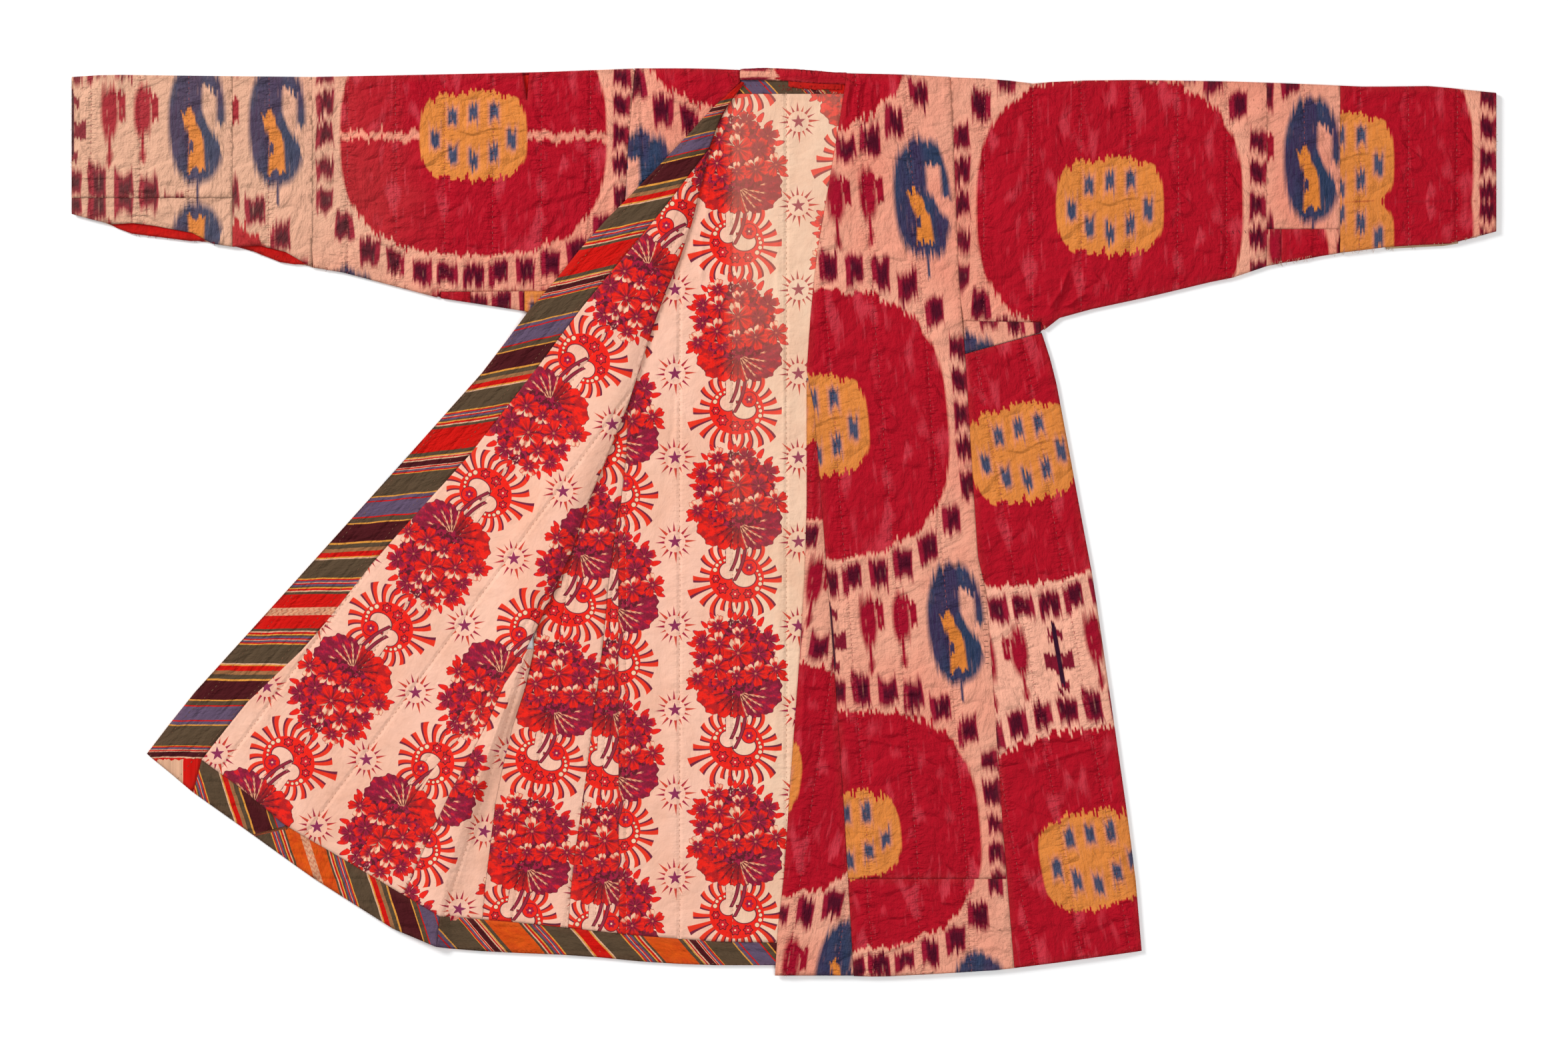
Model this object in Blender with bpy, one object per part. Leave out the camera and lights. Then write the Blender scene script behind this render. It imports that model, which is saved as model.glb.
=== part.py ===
"""Central Asian quilted robe (chapan) laid open on a flat surface.

The back lies face down. The left front is closed over it, and the right front is turned back
with its lining up, so that it covers part of the right sleeve. +X runs along the sleeves
towards the left sleeve's cuff, +Y from the hem to the shoulders, +Z up. The origin is under
the middle of the garment's box.

Lengths in the tables are centimetres. "across" is measured from the middle of the sleeve
span, "down" from the highest point of the shoulder line. Heights and cloth walls are
millimetres above the surface that the robe lies on.
"""

from math import cos, hypot, pi, radians, sin

import bmesh
import bpy

# ---------------------------------------------------------------- driving dimensions
CM = 0.01
MM = 0.001
HALF_SPAN = 94.0          # middle of the span to a cuff's end
HALF_LENGTH = 60.05       # middle of the garment's length to the shoulder or the hem
OUTER_WALL = 1.6          # ikat with its padding
LINING_WALL = 1.2         # cotton lining, facings
GAP = 0.3                 # between pieces that touch
SEAM = 0.02               # half of the gap at a seam, cm
TUCK_UNDER = 1.5          # how far the back's lining runs on under the left front, cm

# ---------------------------------------------------------------- levels of the layers
BACK = 0.0
BACK_LINING = BACK + OUTER_WALL + GAP
FRONT = BACK_LINING + LINING_WALL + GAP
OPENED_FRONT = 7.0        # the turned-back front where it lies on the sleeve
SLEEVE_FRONT = 3.6        # underside of a sleeve's upper wall
CUFF_FOOT = 3.2           # underside of its lower edge where a cuff stands open
ON_OUTER = OUTER_WALL + GAP

# ---------------------------------------------------------------- quilting
PUFF = 0.5                # how far the padding rises between two lines of quilting, mm
FULL_PUFF = 8.0           # a piece this wide has its full rise, cm
# Lines of quilting across the sleeves, each sleeve's upper width, strip and cuff.
LEFT_SLEEVE_QUILTING = [28.0, 34.3, 40.6, 46.9, 53.2, 59.3, 63.7, 73.4, 82.3, 87.9, 91.2, 94.0]
RIGHT_SLEEVE_QUILTING = [
    -94.0, -90.5, -84.8, -78.6, -72.8, -62.3, -58.2, -52.0, -45.8, -39.2, -33.0, -26.8,
]

# ---------------------------------------------------------------- outline, (across, down)
SHOULDER_LINE = [
    (-94.0, 1.2), (-89.4, 0.9), (-73.1, 1.1), (-62.1, 1.2), (-47.2, 0.9), (-33.1, 0.6),
    (-27.8, 0.4), (-19.9, 0.1), (-11.1, 0.1), (-5.8, 0.3), (-2.3, 0.1), (2.1, 0.3),
    (6.5, 0.7), (15.3, 0.9), (23.2, 1.3), (28.5, 1.5), (32.5, 2.1), (37.3, 1.7),
    (46.1, 1.6), (59.3, 1.8), (68.1, 2.1), (76.9, 2.5), (85.7, 2.4), (90.1, 2.9), (94.0, 3.3),
]
LEFT_SLEEVE_LOWER_EDGE = [
    (33.9, 34.9), (36.4, 33.0), (40.4, 31.9), (48.3, 30.2), (56.2, 28.3), (60.2, 27.5),
    (64.2, 26.0), (68.1, 25.4), (72.1, 24.6), (80.0, 23.6), (87.9, 23.2), (91.9, 22.2),
    (94.0, 21.6),
]
RIGHT_SLEEVE_LOWER_EDGE = [
    (-94.0, 19.3), (-90.3, 20.3), (-86.3, 21.9), (-78.4, 22.9), (-74.4, 23.3), (-70.5, 24.1),
    (-66.5, 25.7), (-58.6, 26.9), (-50.7, 29.0), (-45.4, 30.4), (-38.8, 31.4), (-33.7, 32.2),
    (-21.0, 37.7),
]
LEFT_HEM = [
    (-1.2, 119.8), (8.7, 119.9), (12.7, 120.0), (20.6, 119.6), (28.5, 119.1), (36.4, 118.1),
    (47.2, 116.6),
]
LEFT_SIDE = [
    (34.0, 35.0), (35.6, 39.9), (37.1, 47.8), (39.3, 59.7), (40.8, 67.6), (43.1, 83.4),
    (45.4, 99.3), (46.4, 107.2), (47.2, 116.6),
]
OPEN_HEM = [
    (-84.1, 90.6), (-78.4, 95.4), (-70.5, 101.0), (-62.6, 106.7), (-54.6, 111.8),
    (-50.7, 114.2), (-46.7, 115.9), (-42.8, 116.5), (-34.8, 116.9), (-26.9, 117.2),
    (-19.0, 118.0), (-11.1, 118.5), (2.0, 118.5),
]

# ---------------------------------------------------------------- seams, (across, down)
LEFT_ARMHOLE = [(22.0, 1.3), (22.6, 15.0), (23.1, 28.0), (23.9, 37.8)]
RIGHT_ARMHOLE = [(-19.7, 0.1), (-20.6, 10.3), (-21.1, 20.0), (-21.1, 37.7)]
OPENING_EDGE = [
    (8.3, 0.8), (7.1, 8.4), (4.9, 21.4), (4.2, 25.5), (3.5, 32.8), (3.0, 39.9), (3.0, 57.8),
    (2.7, 67.3), (2.1, 77.2), (0.8, 94.8), (0.0, 106.6), (-0.8, 113.7), (-1.2, 119.8),
]
STRIP_SEAM = [(3.0, 39.9), (4.0, 45.2), (5.5, 64.6), (6.7, 79.9), (7.8, 96.0), (9.2, 119.9)]
LEFT_GORE_SEAM = [
    (23.9, 37.8), (24.3, 44.4), (25.0, 55.6), (25.6, 64.6), (26.7, 69.3), (27.5, 80.3),
    (28.9, 100.7), (30.4, 119.0),
]
HEM_PIECE_SEAM = 107.1
LEFT_STRIP_SEAM, LEFT_CUFF_SEAM = 63.7, 73.4
RIGHT_STRIP_SEAM, RIGHT_CUFF_SEAM = -62.3, -72.8
LEFT_PATCH_SEAM = 21.3
RIGHT_CUFF_PIECE_SEAM = 17.2
LEFT_GUSSET_SEAM = [(23.0, 33.4), (34.05, 33.6)]
RIGHT_GUSSET_SEAM = [(-45.4, 29.6), (-20.5, 29.4)]
FREE_EDGE = [
    (-5.6, 1.9), (-7.8, 3.6), (-14.0, 10.4), (-20.8, 17.5), (-25.3, 22.0), (-30.2, 28.2),
    (-33.8, 32.3), (-39.5, 39.9), (-50.0, 51.7), (-64.3, 67.6), (-78.6, 83.4), (-84.1, 90.6),
]
FACING_SEAM = [
    (-10.6, 13.2), (-14.3, 16.6), (-18.7, 22.2), (-25.3, 29.9), (-32.5, 39.5), (-41.5, 51.1),
    (-53.7, 64.6), (-62.6, 75.9), (-71.1, 84.0), (-76.9, 91.4),
]
TURNED_FOLD = [
    (-5.2, 2.0), (-7.8, 4.8), (-9.6, 10.6), (-10.6, 13.2), (-11.3, 17.9), (-13.6, 24.9),
    (-16.5, 31.7), (-18.6, 38.3), (-20.6, 44.6), (-23.9, 52.8), (-26.2, 58.2), (-28.0, 64.1),
    (-30.7, 70.0), (-34.0, 76.8),
]
FRONT_WEDGE_LEFT = [
    (-34.0, 76.8), (-37.1, 79.5), (-40.0, 85.4), (-45.6, 91.5), (-50.6, 98.8), (-56.4, 105.5),
]
FRONT_WEDGE_RIGHT = [
    (-33.8, 76.8), (-35.7, 78.7), (-39.3, 87.0), (-44.2, 96.0), (-50.2, 109.2),
]
FOLD_CREST = [
    (-33.6, 76.8), (-36.0, 82.0), (-39.2, 91.3), (-41.9, 98.4), (-44.1, 105.4), (-45.4, 112.0),
]
FOLD_VALLEY = [
    (-33.3, 76.8), (-34.4, 82.0), (-36.9, 88.8), (-38.9, 95.5), (-41.6, 103.9), (-43.8, 112.1),
]
SIDE_SEAM = [
    (-33.0, 76.8), (-34.0, 81.4), (-35.7, 86.5), (-37.9, 95.5), (-39.3, 106.7), (-39.8, 112.5),
]
BACK_WEDGE_SEAM = [
    (-21.8, 57.6), (-23.2, 68.5), (-23.8, 75.2), (-25.9, 91.8), (-28.0, 106.5), (-28.5, 113.7),
]
BACK_LINING_SEAM = [(-20.6, 44.6), (-20.8, 51.2), (-21.5, 57.3), (-21.9, 62.0), (-21.8, 114.3)]
HEM_SEAM = [
    (-76.9, 91.4), (-71.5, 95.3), (-65.8, 100.1), (-59.4, 103.8), (-53.3, 107.4),
    (-45.4, 112.0), (-34.9, 112.9), (-19.3, 114.6), (-9.1, 115.4), (2.0, 115.6),
]
# The hem facing leans: how far left of its seam its lower edge lies, (across, lean).
HEM_LEAN = [(-76.9, 1.1), (-65.8, 2.6), (-56.4, 2.2), (-50.2, 1.4), (-45.4, 0.4), (-39.8, 0.0)]

# Neck: edges of the rolled binding, the torn ribbon and the back-neck facing, (across, down).
BINDING_LOWER_EDGE = [(-5.4, 1.5), (0.0, 1.6), (5.0, 2.0), (8.2, 2.1)]
NECK_FACING_FOOT = 3.4
RIBBON_FOOT = [(0.6, 2.5), (3.0, 2.8), (8.1, 2.9)]

# ---------------------------------------------------------------- the big fold
# Height of the cloth under the lining by its distance from the turned fold's edge, (cm, mm).
TURNED_ROLL = [(0.0, 1.5), (0.35, 3.5), (0.7, 5.4), (2.0, 7.9)]
ROLL_REACH = 11.0         # the roll dies out this far from the edge, cm
SLEEVE_EDGE_REACH = 5.0   # the front comes down from the sleeve to the surface over this, cm
# Height of the cloth under the lining on each line of the skirt's fold, top row to hem.
SKIRT_FOLD = {
    "wedge_left": [4.6, 3.4, 2.5, 2.0, 2.0, 1.5, 1.0, 0.8, 0.5],
    "wedge_right": [5.0, 5.4, 6.0, 6.0, 5.5, 4.5, 4.0, 3.5, 3.0],
    "crest": [5.2, 8.0, 9.5, 10.0, 9.5, 8.5, 8.0, 7.0, 6.5],
    "valley": [3.0, 1.4, 0.4, 0.0, 0.0, 0.0, 0.0, 0.0, 0.0],
    "side_seam": [0.0] * 9,
}
UPPER_ROWS = 16           # rows of the turned front above the skirt's fold
LOWER_ROWS = 7            # rows beside the skirt's fold
FRONT_CHANNELS = 4        # quilted channels between the facing and the turned fold
FIRST_CLOTH_ROW = 4       # above it the turned front is facing alone
FIRST_LINING_ROW = 2

# Soft creases: two ends (across, down), height in mm and half width in cm.
CREASES = [
    (36.2, 32.2, 41.0, 27.0, 3.0, 1.8),
    (26.0, 22.0, 40.0, 27.0, 1.4, 2.2),
    (-52.0, 25.0, -38.0, 19.0, 1.2, 2.0),
    (-36.0, 21.5, -24.5, 14.5, 1.1, 2.0),
    (9.0, 0.9, 7.9, 7.5, 1.6, 1.0),
    (11.2, 1.0, 9.6, 8.5, 1.2, 1.0),
    (3.6, 60.0, 1.2, 108.0, 1.0, 2.5),
]
# Rips in the sleeves' upper folds: across at the left, at the right and at the tip, depth.
RIPS = {
    "sleeve_right_upper": [(-34.5, -33.6, -33.9, 4.4)],
    "sleeve_left_upper": [(48.5, 49.4, 49.1, 2.1), (49.9, 50.4, 50.2, 1.7)],
}

# How far the red sleeve lining peeks out below the right sleeve, (across, cm).
RIGHT_PEEK = [
    (-94.0, 0.0), (-89.0, 0.0), (-87.5, 1.4), (-84.0, 1.5), (-77.5, 1.1), (-76.0, 0.0),
    (-72.0, 0.0), (-71.0, 0.9), (-68.0, 1.3), (-66.0, 1.6), (-63.9, 0.6), (-63.0, 0.0),
    (-20.0, 0.0),
]

COLOURS = {
    "ikat_crimson": (0.42, 0.012, 0.035),
    "ikat_pink": (0.72, 0.36, 0.28),
    "printed_cotton": (0.87, 0.58, 0.45),
    "striped_cotton": (0.12, 0.075, 0.05),
    "red_cotton": (0.70, 0.02, 0.015),
    "pale_cotton": (0.80, 0.68, 0.52),
}


# ---------------------------------------------------------------- lines and heights
def between(low, high, share):
    return low + (high - low) * share


def smooth(share):
    share = min(1.0, max(0.0, share))
    return share * share * (3.0 - 2.0 * share)


def read(table, value, given=0, wanted=1):
    """The wanted column of a table at a value of its given column, straight between rows."""
    rows = sorted(table, key=lambda row: row[given])
    if value <= rows[0][given]:
        return rows[0][wanted]
    for low, high in zip(rows, rows[1:]):
        if value <= high[given]:
            share = (value - low[given]) / (high[given] - low[given])
            return between(low[wanted], high[wanted], share)
    return rows[-1][wanted]


def down_at(line, across):
    return read(line, across, 0, 1)


def across_at(line, down):
    return read(line, down, 1, 0)


def midway(low, high, share):
    """The point (across, down) at a share of the way between two."""
    return (between(low[0], high[0], share), between(low[1], high[1], share))


def walk(line, share):
    """The point at a share of a line's length."""
    steps = [hypot(b[0] - a[0], b[1] - a[1]) for a, b in zip(line, line[1:])]
    left = share * sum(steps)
    for (a, b), step in zip(zip(line, line[1:]), steps):
        if left <= step:
            return midway(a, b, left / step)
        left -= step
    return line[-1]


def crease_height(across, down):
    """The highest of the soft creases at a point, in mm."""
    best = 0.0
    for x1, y1, x2, y2, height, width in CREASES:
        run = hypot(x2 - x1, y2 - y1)
        along = ((across - x1) * (x2 - x1) + (down - y1) * (y2 - y1)) / run**2
        beside = abs((across - x1) * (y2 - y1) - (down - y1) * (x2 - x1)) / run
        if 0.0 < along < 1.0 and beside < width:
            ends = min(1.0, 5.0 * along, 5.0 * (1.0 - along))
            best = max(best, height * ends * (1.0 + cos(pi * beside / width)) / 2.0)
    return best


def sleeve_rest(across, down):
    """Height of the turned front where the sleeve or the shoulder is under it."""
    foot = down_at(RIGHT_SLEEVE_LOWER_EDGE, across) + 0.3
    return OPENED_FRONT * (1.0 - smooth((down - foot) / SLEEVE_EDGE_REACH))


# ---------------------------------------------------------------- making a wall of cloth
def place(point):
    across, down, height = point
    return (across * CM, (HALF_LENGTH - down) * CM, height * MM)


def make_wall(name, under, over, collection, colour):
    """A closed wall between two grids of points with the same rows and columns."""
    rows, columns = len(under), len(under[0])
    mesh = bmesh.new()
    low = [[mesh.verts.new(place(p)) for p in row] for row in under]
    high = [[mesh.verts.new(place(p)) for p in row] for row in over]
    for r in range(rows - 1):
        for c in range(columns - 1):
            for grid in (low, high):
                a, b = grid[r][c], grid[r][c + 1]
                d, e = grid[r + 1][c], grid[r + 1][c + 1]
                mesh.faces.new((a, b, e))
                mesh.faces.new((a, e, d))
    rim = [(0, c) for c in range(columns)]
    rim += [(r, columns - 1) for r in range(1, rows)]
    rim += [(rows - 1, c) for c in range(columns - 2, -1, -1)]
    rim += [(r, 0) for r in range(rows - 2, 0, -1)]
    for (r1, c1), (r2, c2) in zip(rim, rim[1:] + rim[:1]):
        mesh.faces.new((low[r1][c1], low[r2][c2], high[r2][c2], high[r1][c1]))
    bmesh.ops.recalc_face_normals(mesh, faces=mesh.faces)
    data = bpy.data.meshes.new(name)
    mesh.to_mesh(data)
    mesh.free()
    data.shade_smooth()
    data.set_sharp_from_angle(angle=radians(50.0))
    data.materials.append(material(colour))
    item = bpy.data.objects.new(name, data)
    collection.objects.link(item)
    return item


def material(name):
    found = bpy.data.materials.get(name)
    if found:
        return found
    made = bpy.data.materials.new(name)
    made.use_nodes = True
    shader = made.node_tree.nodes["Principled BSDF"]
    shader.inputs["Base Color"].default_value = (*COLOURS[name], 1.0)
    shader.inputs["Roughness"].default_value = 0.9
    shader.inputs["Metallic"].default_value = 0.0
    made.diffuse_color = (*COLOURS[name], 1.0)
    return made


def lay(name, grid, wall, collection, colour, lift=0.0, quilted=None):
    """A wall of cloth whose underside is a grid of (across, down, height).

    quilted is a height for each column by which the padding raises the upper side, less
    where the piece is narrow. The first and last rows stay down at their seams.
    """
    raised = quilted or [0.0] * len(grid[0])
    under = [[(x, y, z + lift) for x, y, z in row] for row in grid]
    over = []
    for r, row in enumerate(under):
        inner = 0 < r < len(under) - 1
        full = smooth((row[-1][0] - row[0][0]) / FULL_PUFF) if inner else 0.0
        over.append([
            (x, y, z + wall + rise * full) for (x, y, z), rise in zip(row, raised)
        ])
    return make_wall(name, under, over, collection, colour)


def channels(count):
    """Shares across a panel for a number of quilted channels, and each share's rise."""
    shares, rises = [0.0], [0.0]
    for channel in range(count):
        for part, rise in ((1.0 / 3.0, PUFF), (2.0 / 3.0, PUFF), (1.0, 0.0)):
            shares.append((channel + part) / count)
            rises.append(rise)
    return shares, rises


def panel(downs, left, right, shares, height):
    """Rows of points from a left line to a right line, at the given distances down.

    left and right give across at a distance down, and height gives mm at (across, down).
    """
    grid = []
    for down in downs:
        low, high = left(down) + SEAM, right(down) - SEAM
        row = [between(low, high, share) for share in shares]
        grid.append([(x, down, height(x, down)) for x in row])
    return grid


def even(count):
    return [i / count for i in range(count + 1)]


def rows_with(first, last, spacing, *lines):
    """Distances down from first to last: each line's own corners, then rows in between."""
    corners = {round(d, 3) for line in lines for _, d in line if first + 0.3 < d < last - 0.3}
    rows = [first]
    for corner in sorted(corners) + [last]:
        gap = corner - rows[-1]
        count = max(1, round(gap / spacing))
        rows += [between(rows[-1], corner, share) for share in even(count)[1:]]
    return rows


def steps(first, last, count):
    return [between(first, last, share) for share in even(count)]


# ---------------------------------------------------------------- the closed side
def front_height(across, down):
    """Underside of the left front: down at the shoulder fold and at the side, a soft roll
    along the opening edge, creases elsewhere."""
    from_shoulder = down - down_at(SHOULDER_LINE, across)
    from_edge = across - across_at(OPENING_EDGE, down)
    from_side = across_at(LEFT_SIDE, down) - across if down > 35.0 else 9.0
    roll = 1.0 * smooth(from_edge / 0.8) * (1.0 - smooth((from_edge - 0.8) / 3.0))
    dip = min(smooth(from_shoulder / 1.2), smooth(from_side / 1.5))
    level = between(BACK_LINING, FRONT, dip)
    return level + roll + dip * crease_height(across, down)


def build_left_front(robe):
    def edge(down):
        return across_at(OPENING_EDGE, max(down, 0.8))

    def strip(down):
        return across_at(STRIP_SEAM, down)

    def outer_edge(down):
        seam = LEFT_ARMHOLE if down < 37.8 else LEFT_GORE_SEAM
        return across_at(seam, down)

    shares, rises = channels(3)
    shares = [0.0, 0.04, 0.09] + shares[1:]
    rises = [0.0, 0.0, 0.2] + rises[1:]
    downs = [1.0, 1.8]
    downs += rows_with(3.0, HEM_PIECE_SEAM - SEAM, 4.0, LEFT_ARMHOLE, LEFT_GORE_SEAM, STRIP_SEAM)

    def left(down):
        return edge(down) if down < STRIP_SEAM[0][1] else strip(down)

    grid = panel(downs, left, outer_edge, shares, front_height)
    grid[0] = [(x, down_at(SHOULDER_LINE, x), BACK_LINING) for x, y, z in grid[0]]
    lay("left_front", grid, OUTER_WALL, robe, "ikat_crimson", 0.0, rises)

    downs = rows_with(41.0, 119.85, 5.0, STRIP_SEAM, OPENING_EDGE)
    shares, rises = channels(2)
    grid = panel(downs, edge, strip, shares, front_height)
    lay("left_front_strip", grid, OUTER_WALL, robe, "ikat_crimson", 0.0, rises)

    downs = [HEM_PIECE_SEAM + SEAM, 110.0, 114.0, 118.0]
    shares, rises = channels(3)
    grid = panel(downs, strip, outer_edge, shares, front_height)
    first, last = strip(119.85) + SEAM, outer_edge(119.0) - SEAM
    ends = [between(first, last, share) for share in shares]
    foot = [(x, down_at(LEFT_HEM, x), FRONT) for x in ends]
    lay("left_front_hem_piece", grid + [foot], OUTER_WALL, robe, "ikat_crimson", 0.0, rises)

    def gore_top(across):
        return between(37.8, 35.0, (across - 23.9) / 10.1) + SEAM

    grid = []
    shares, rises = channels(2)
    for seam_down in rows_with(37.84, 119.0, 4.2, LEFT_GORE_SEAM):
        row = []
        share = (seam_down - 37.84) / (119.0 - 37.84)
        for across_share in shares:
            side_down = between(35.05, 116.6, share)
            down = between(seam_down, side_down, across_share)
            low = across_at(LEFT_GORE_SEAM, seam_down) + SEAM
            across = between(low, across_at(LEFT_SIDE, side_down), across_share)
            if share == 0.0:
                down = gore_top(across)
            if share == 1.0:
                down = down_at(LEFT_HEM, across)
            row.append((across, down, front_height(across, down)))
        grid.append(row)
    lay("left_side_gore", grid, OUTER_WALL, robe, "ikat_crimson", 0.0, rises)


# ---------------------------------------------------------------- the back
def build_back(robe):
    def left(down):
        if down < 37.7:
            return across_at(RIGHT_ARMHOLE, down)
        if down < 44.6:
            return between(-21.1, -20.6, (down - 37.7) / 6.9)
        return across_at(BACK_LINING_SEAM, down)

    def right(down):
        seam = LEFT_ARMHOLE if down < 37.8 else LEFT_GORE_SEAM
        return across_at(seam, down)

    seams = (RIGHT_ARMHOLE, LEFT_ARMHOLE, BACK_LINING_SEAM, LEFT_GORE_SEAM)
    downs = rows_with(0.15, 114.3, 12.0, *seams)
    shares = [0.0, 0.16, 0.32, 0.36, 0.6, 0.68, 0.84, 1.0]
    grid = panel(downs, left, right, shares, lambda across, down: BACK)
    neck_down = 1.0
    head = []
    for x, y, z in grid[0]:
        shoulder = down_at(SHOULDER_LINE, x)
        head.append((x, max(neck_down, shoulder) if -5.6 < x < 9.5 else shoulder + 0.05, z))
    foot = [(x, back_hem(x), z) for x, y, z in grid[-1]]
    lay("back", [head] + grid[1:] + [foot], OUTER_WALL, robe, "ikat_pink")

    grid = []
    for seam_down in rows_with(37.9, 117.7, 20.0, LEFT_GORE_SEAM):
        side_down = between(35.3, 116.0, (seam_down - 37.9) / (117.7 - 37.9))
        low = across_at(LEFT_GORE_SEAM, seam_down) + SEAM
        high = across_at(LEFT_SIDE, side_down) - 0.3
        grid.append([
            (between(low, high, s), between(seam_down, side_down, s), BACK) for s in even(3)
        ])
    lay("back_left_gore", grid, OUTER_WALL, robe, "ikat_pink")


def back_hem(across):
    """The back's hem: it shows at the left, and lies a little short under the left front."""
    if across < 0.0:
        return down_at(OPEN_HEM, across)
    return min(118.5, down_at(LEFT_HEM, across) - 1.0)


def fold_tuck(down, first, last):
    """How far a lining runs on under the turned fold: nothing at its two ends."""
    return 0.3 * min(1.0, max(0.0, (down - first) / 4.0), max(0.0, (last - down) / 4.0))


def build_back_lining(robe):
    seam_head, seam_foot = BACK_LINING_SEAM[0][1], TURNED_FOLD[-1][1]

    def left(down):
        if down < seam_head:
            return across_at(TURNED_FOLD, down) - fold_tuck(down, 3.4, seam_head)
        return across_at(BACK_LINING_SEAM, down)

    def right(down):
        return across_at(OPENING_EDGE, down) + TUCK_UNDER

    def flat(across, down):
        return BACK_LINING

    downs = [NECK_FACING_FOOT + 0.05, 8.0, 10.6, 13.2, 17.9, 24.9, 31.7, 38.3, 44.6, 51.2, 57.3]
    downs += [62.0, 70.0, 80.0, 90.0, 102.0]
    # Its last tenth lies under the left front, and stays plain.
    shares, rises = channels(4)
    shares = [share * 0.9 for share in shares] + [1.0]
    grid = panel(downs, left, right, shares, flat)
    low, high = across_at(BACK_LINING_SEAM, 110.0) + SEAM, 1.8
    foot = []
    for share in shares:
        x = between(low, high, share)
        foot.append((x, down_at(HEM_SEAM, x) - SEAM, BACK_LINING))
    lay("lining_back", grid + [foot], LINING_WALL, robe, "printed_cotton", 0.0, rises + [0.0])

    upper = [44.9, 48.0, 51.2, 54.2, 57.3, 57.9, 62.0, 64.1, 68.5, 70.0, 75.2]
    lower = steps(seam_foot, 113.7, LOWER_ROWS)

    def side_left(down):
        if down <= seam_foot:
            ease = smooth((down - 72.0) / (seam_foot - 72.0))
            edge = across_at(TURNED_FOLD, down) - fold_tuck(down, seam_head, 74.0)
            return between(edge, SIDE_SEAM[0][0], ease)
        return across_at(SIDE_SEAM, down)

    def wedge_right(down):
        if down < 57.6:
            return across_at(BACK_LINING_SEAM, down)
        return across_at(BACK_WEDGE_SEAM, down)

    across_shares, rises = channels(2)
    grid = panel(upper, side_left, wedge_right, across_shares, flat)
    for share, high_down in zip(even(LOWER_ROWS), lower):
        low = skirt_point("side_seam", share)
        high = (across_at(BACK_WEDGE_SEAM, high_down), high_down)
        row = []
        for s in across_shares:
            across = between(low[0] + SEAM, high[0] - SEAM, s)
            down = between(low[1], high[1], s)
            if share == 1.0:
                down = down_at(HEM_SEAM, across) - SEAM
            row.append((across, down, BACK_LINING))
        grid.append(row)
    lay("lining_side", grid, LINING_WALL, robe, "printed_cotton", 0.0, rises)
    cloth = [row[::2] for row in grid]
    seam_side = [across_at(BACK_LINING_SEAM, row[-1][1]) for row in cloth]
    for row, across in zip(cloth, seam_side):
        low, y = row[0][0], [p[1] for p in row]
        row[:] = [
            (between(low, across - SEAM, s), d, BACK) for s, d in zip(even(3), y)
        ]
    cloth[-1] = [(x, down_at(HEM_SEAM, x), z) for x, y, z in cloth[-1]]
    cloth.append([(x, down_at(OPEN_HEM, x), z) for x, y, z in cloth[-1]])
    lay("back_right_gore", cloth, OUTER_WALL, robe, "ikat_pink")

    grid = panel(
        [down for down in upper if down > 57.6] + lower[:-1],
        lambda down: across_at(BACK_WEDGE_SEAM, down),
        lambda down: across_at(BACK_LINING_SEAM, down),
        even(1),
        flat,
    )
    foot = [(x, down_at(HEM_SEAM, x) - SEAM, BACK_LINING) for x in (-28.5 + SEAM, -21.8 - SEAM)]
    lay("lining_back_wedge", grid + [foot], LINING_WALL, robe, "printed_cotton")


# ---------------------------------------------------------------- the turned-back front
SKIRT_LINES = {
    "wedge_left": FRONT_WEDGE_LEFT,
    "wedge_right": FRONT_WEDGE_RIGHT,
    "crest": FOLD_CREST,
    "valley": FOLD_VALLEY,
    "side_seam": SIDE_SEAM,
}


def skirt_point(line, share):
    """A point of a skirt line at a share of its way down to the hem facing's seam."""
    table = SKIRT_LINES[line]
    down = between(table[0][1], table[-1][1], share)
    return (across_at(table, down), down)


def hem_point(across):
    """The lower edge of the hem facing below a point of its seam."""
    edge = across - read(HEM_LEAN, across)
    return (edge, down_at(OPEN_HEM, edge))


def front_row(row):
    """The turned front's points on its free edge, its facing's seam and its right side."""
    last = UPPER_ROWS + LOWER_ROWS
    free = walk(FREE_EDGE, row / last)
    if row <= UPPER_ROWS:
        right = walk(TURNED_FOLD, row / UPPER_ROWS)
    else:
        right = skirt_point("wedge_left", (row - UPPER_ROWS) / LOWER_ROWS)
    if row < FIRST_LINING_ROW:
        seam = right
    elif row == FIRST_LINING_ROW:
        seam = (right[0] - 0.25, right[1] - 0.1)
    else:
        seam = walk(FACING_SEAM, (row - FIRST_LINING_ROW) / (last - FIRST_LINING_ROW))
    return free, seam, right


def front_cloth_height(across, down, row, distance):
    """Underside of the turned front's cloth, distance cm from its right side."""
    resting = sleeve_rest(across, down)
    if row < UPPER_ROWS:
        crest = TURNED_ROLL[-1][1]
        if distance <= TURNED_ROLL[-1][0]:
            return read(TURNED_ROLL, distance)
        fall = smooth((distance - TURNED_ROLL[-1][0]) / (ROLL_REACH - TURNED_ROLL[-1][0]))
        return max(resting, crest * (1.0 - fall))
    side = SKIRT_FOLD["wedge_left"][row - UPPER_ROWS]
    return max(resting, side * (1.0 - smooth(distance / 7.0)))


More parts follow.
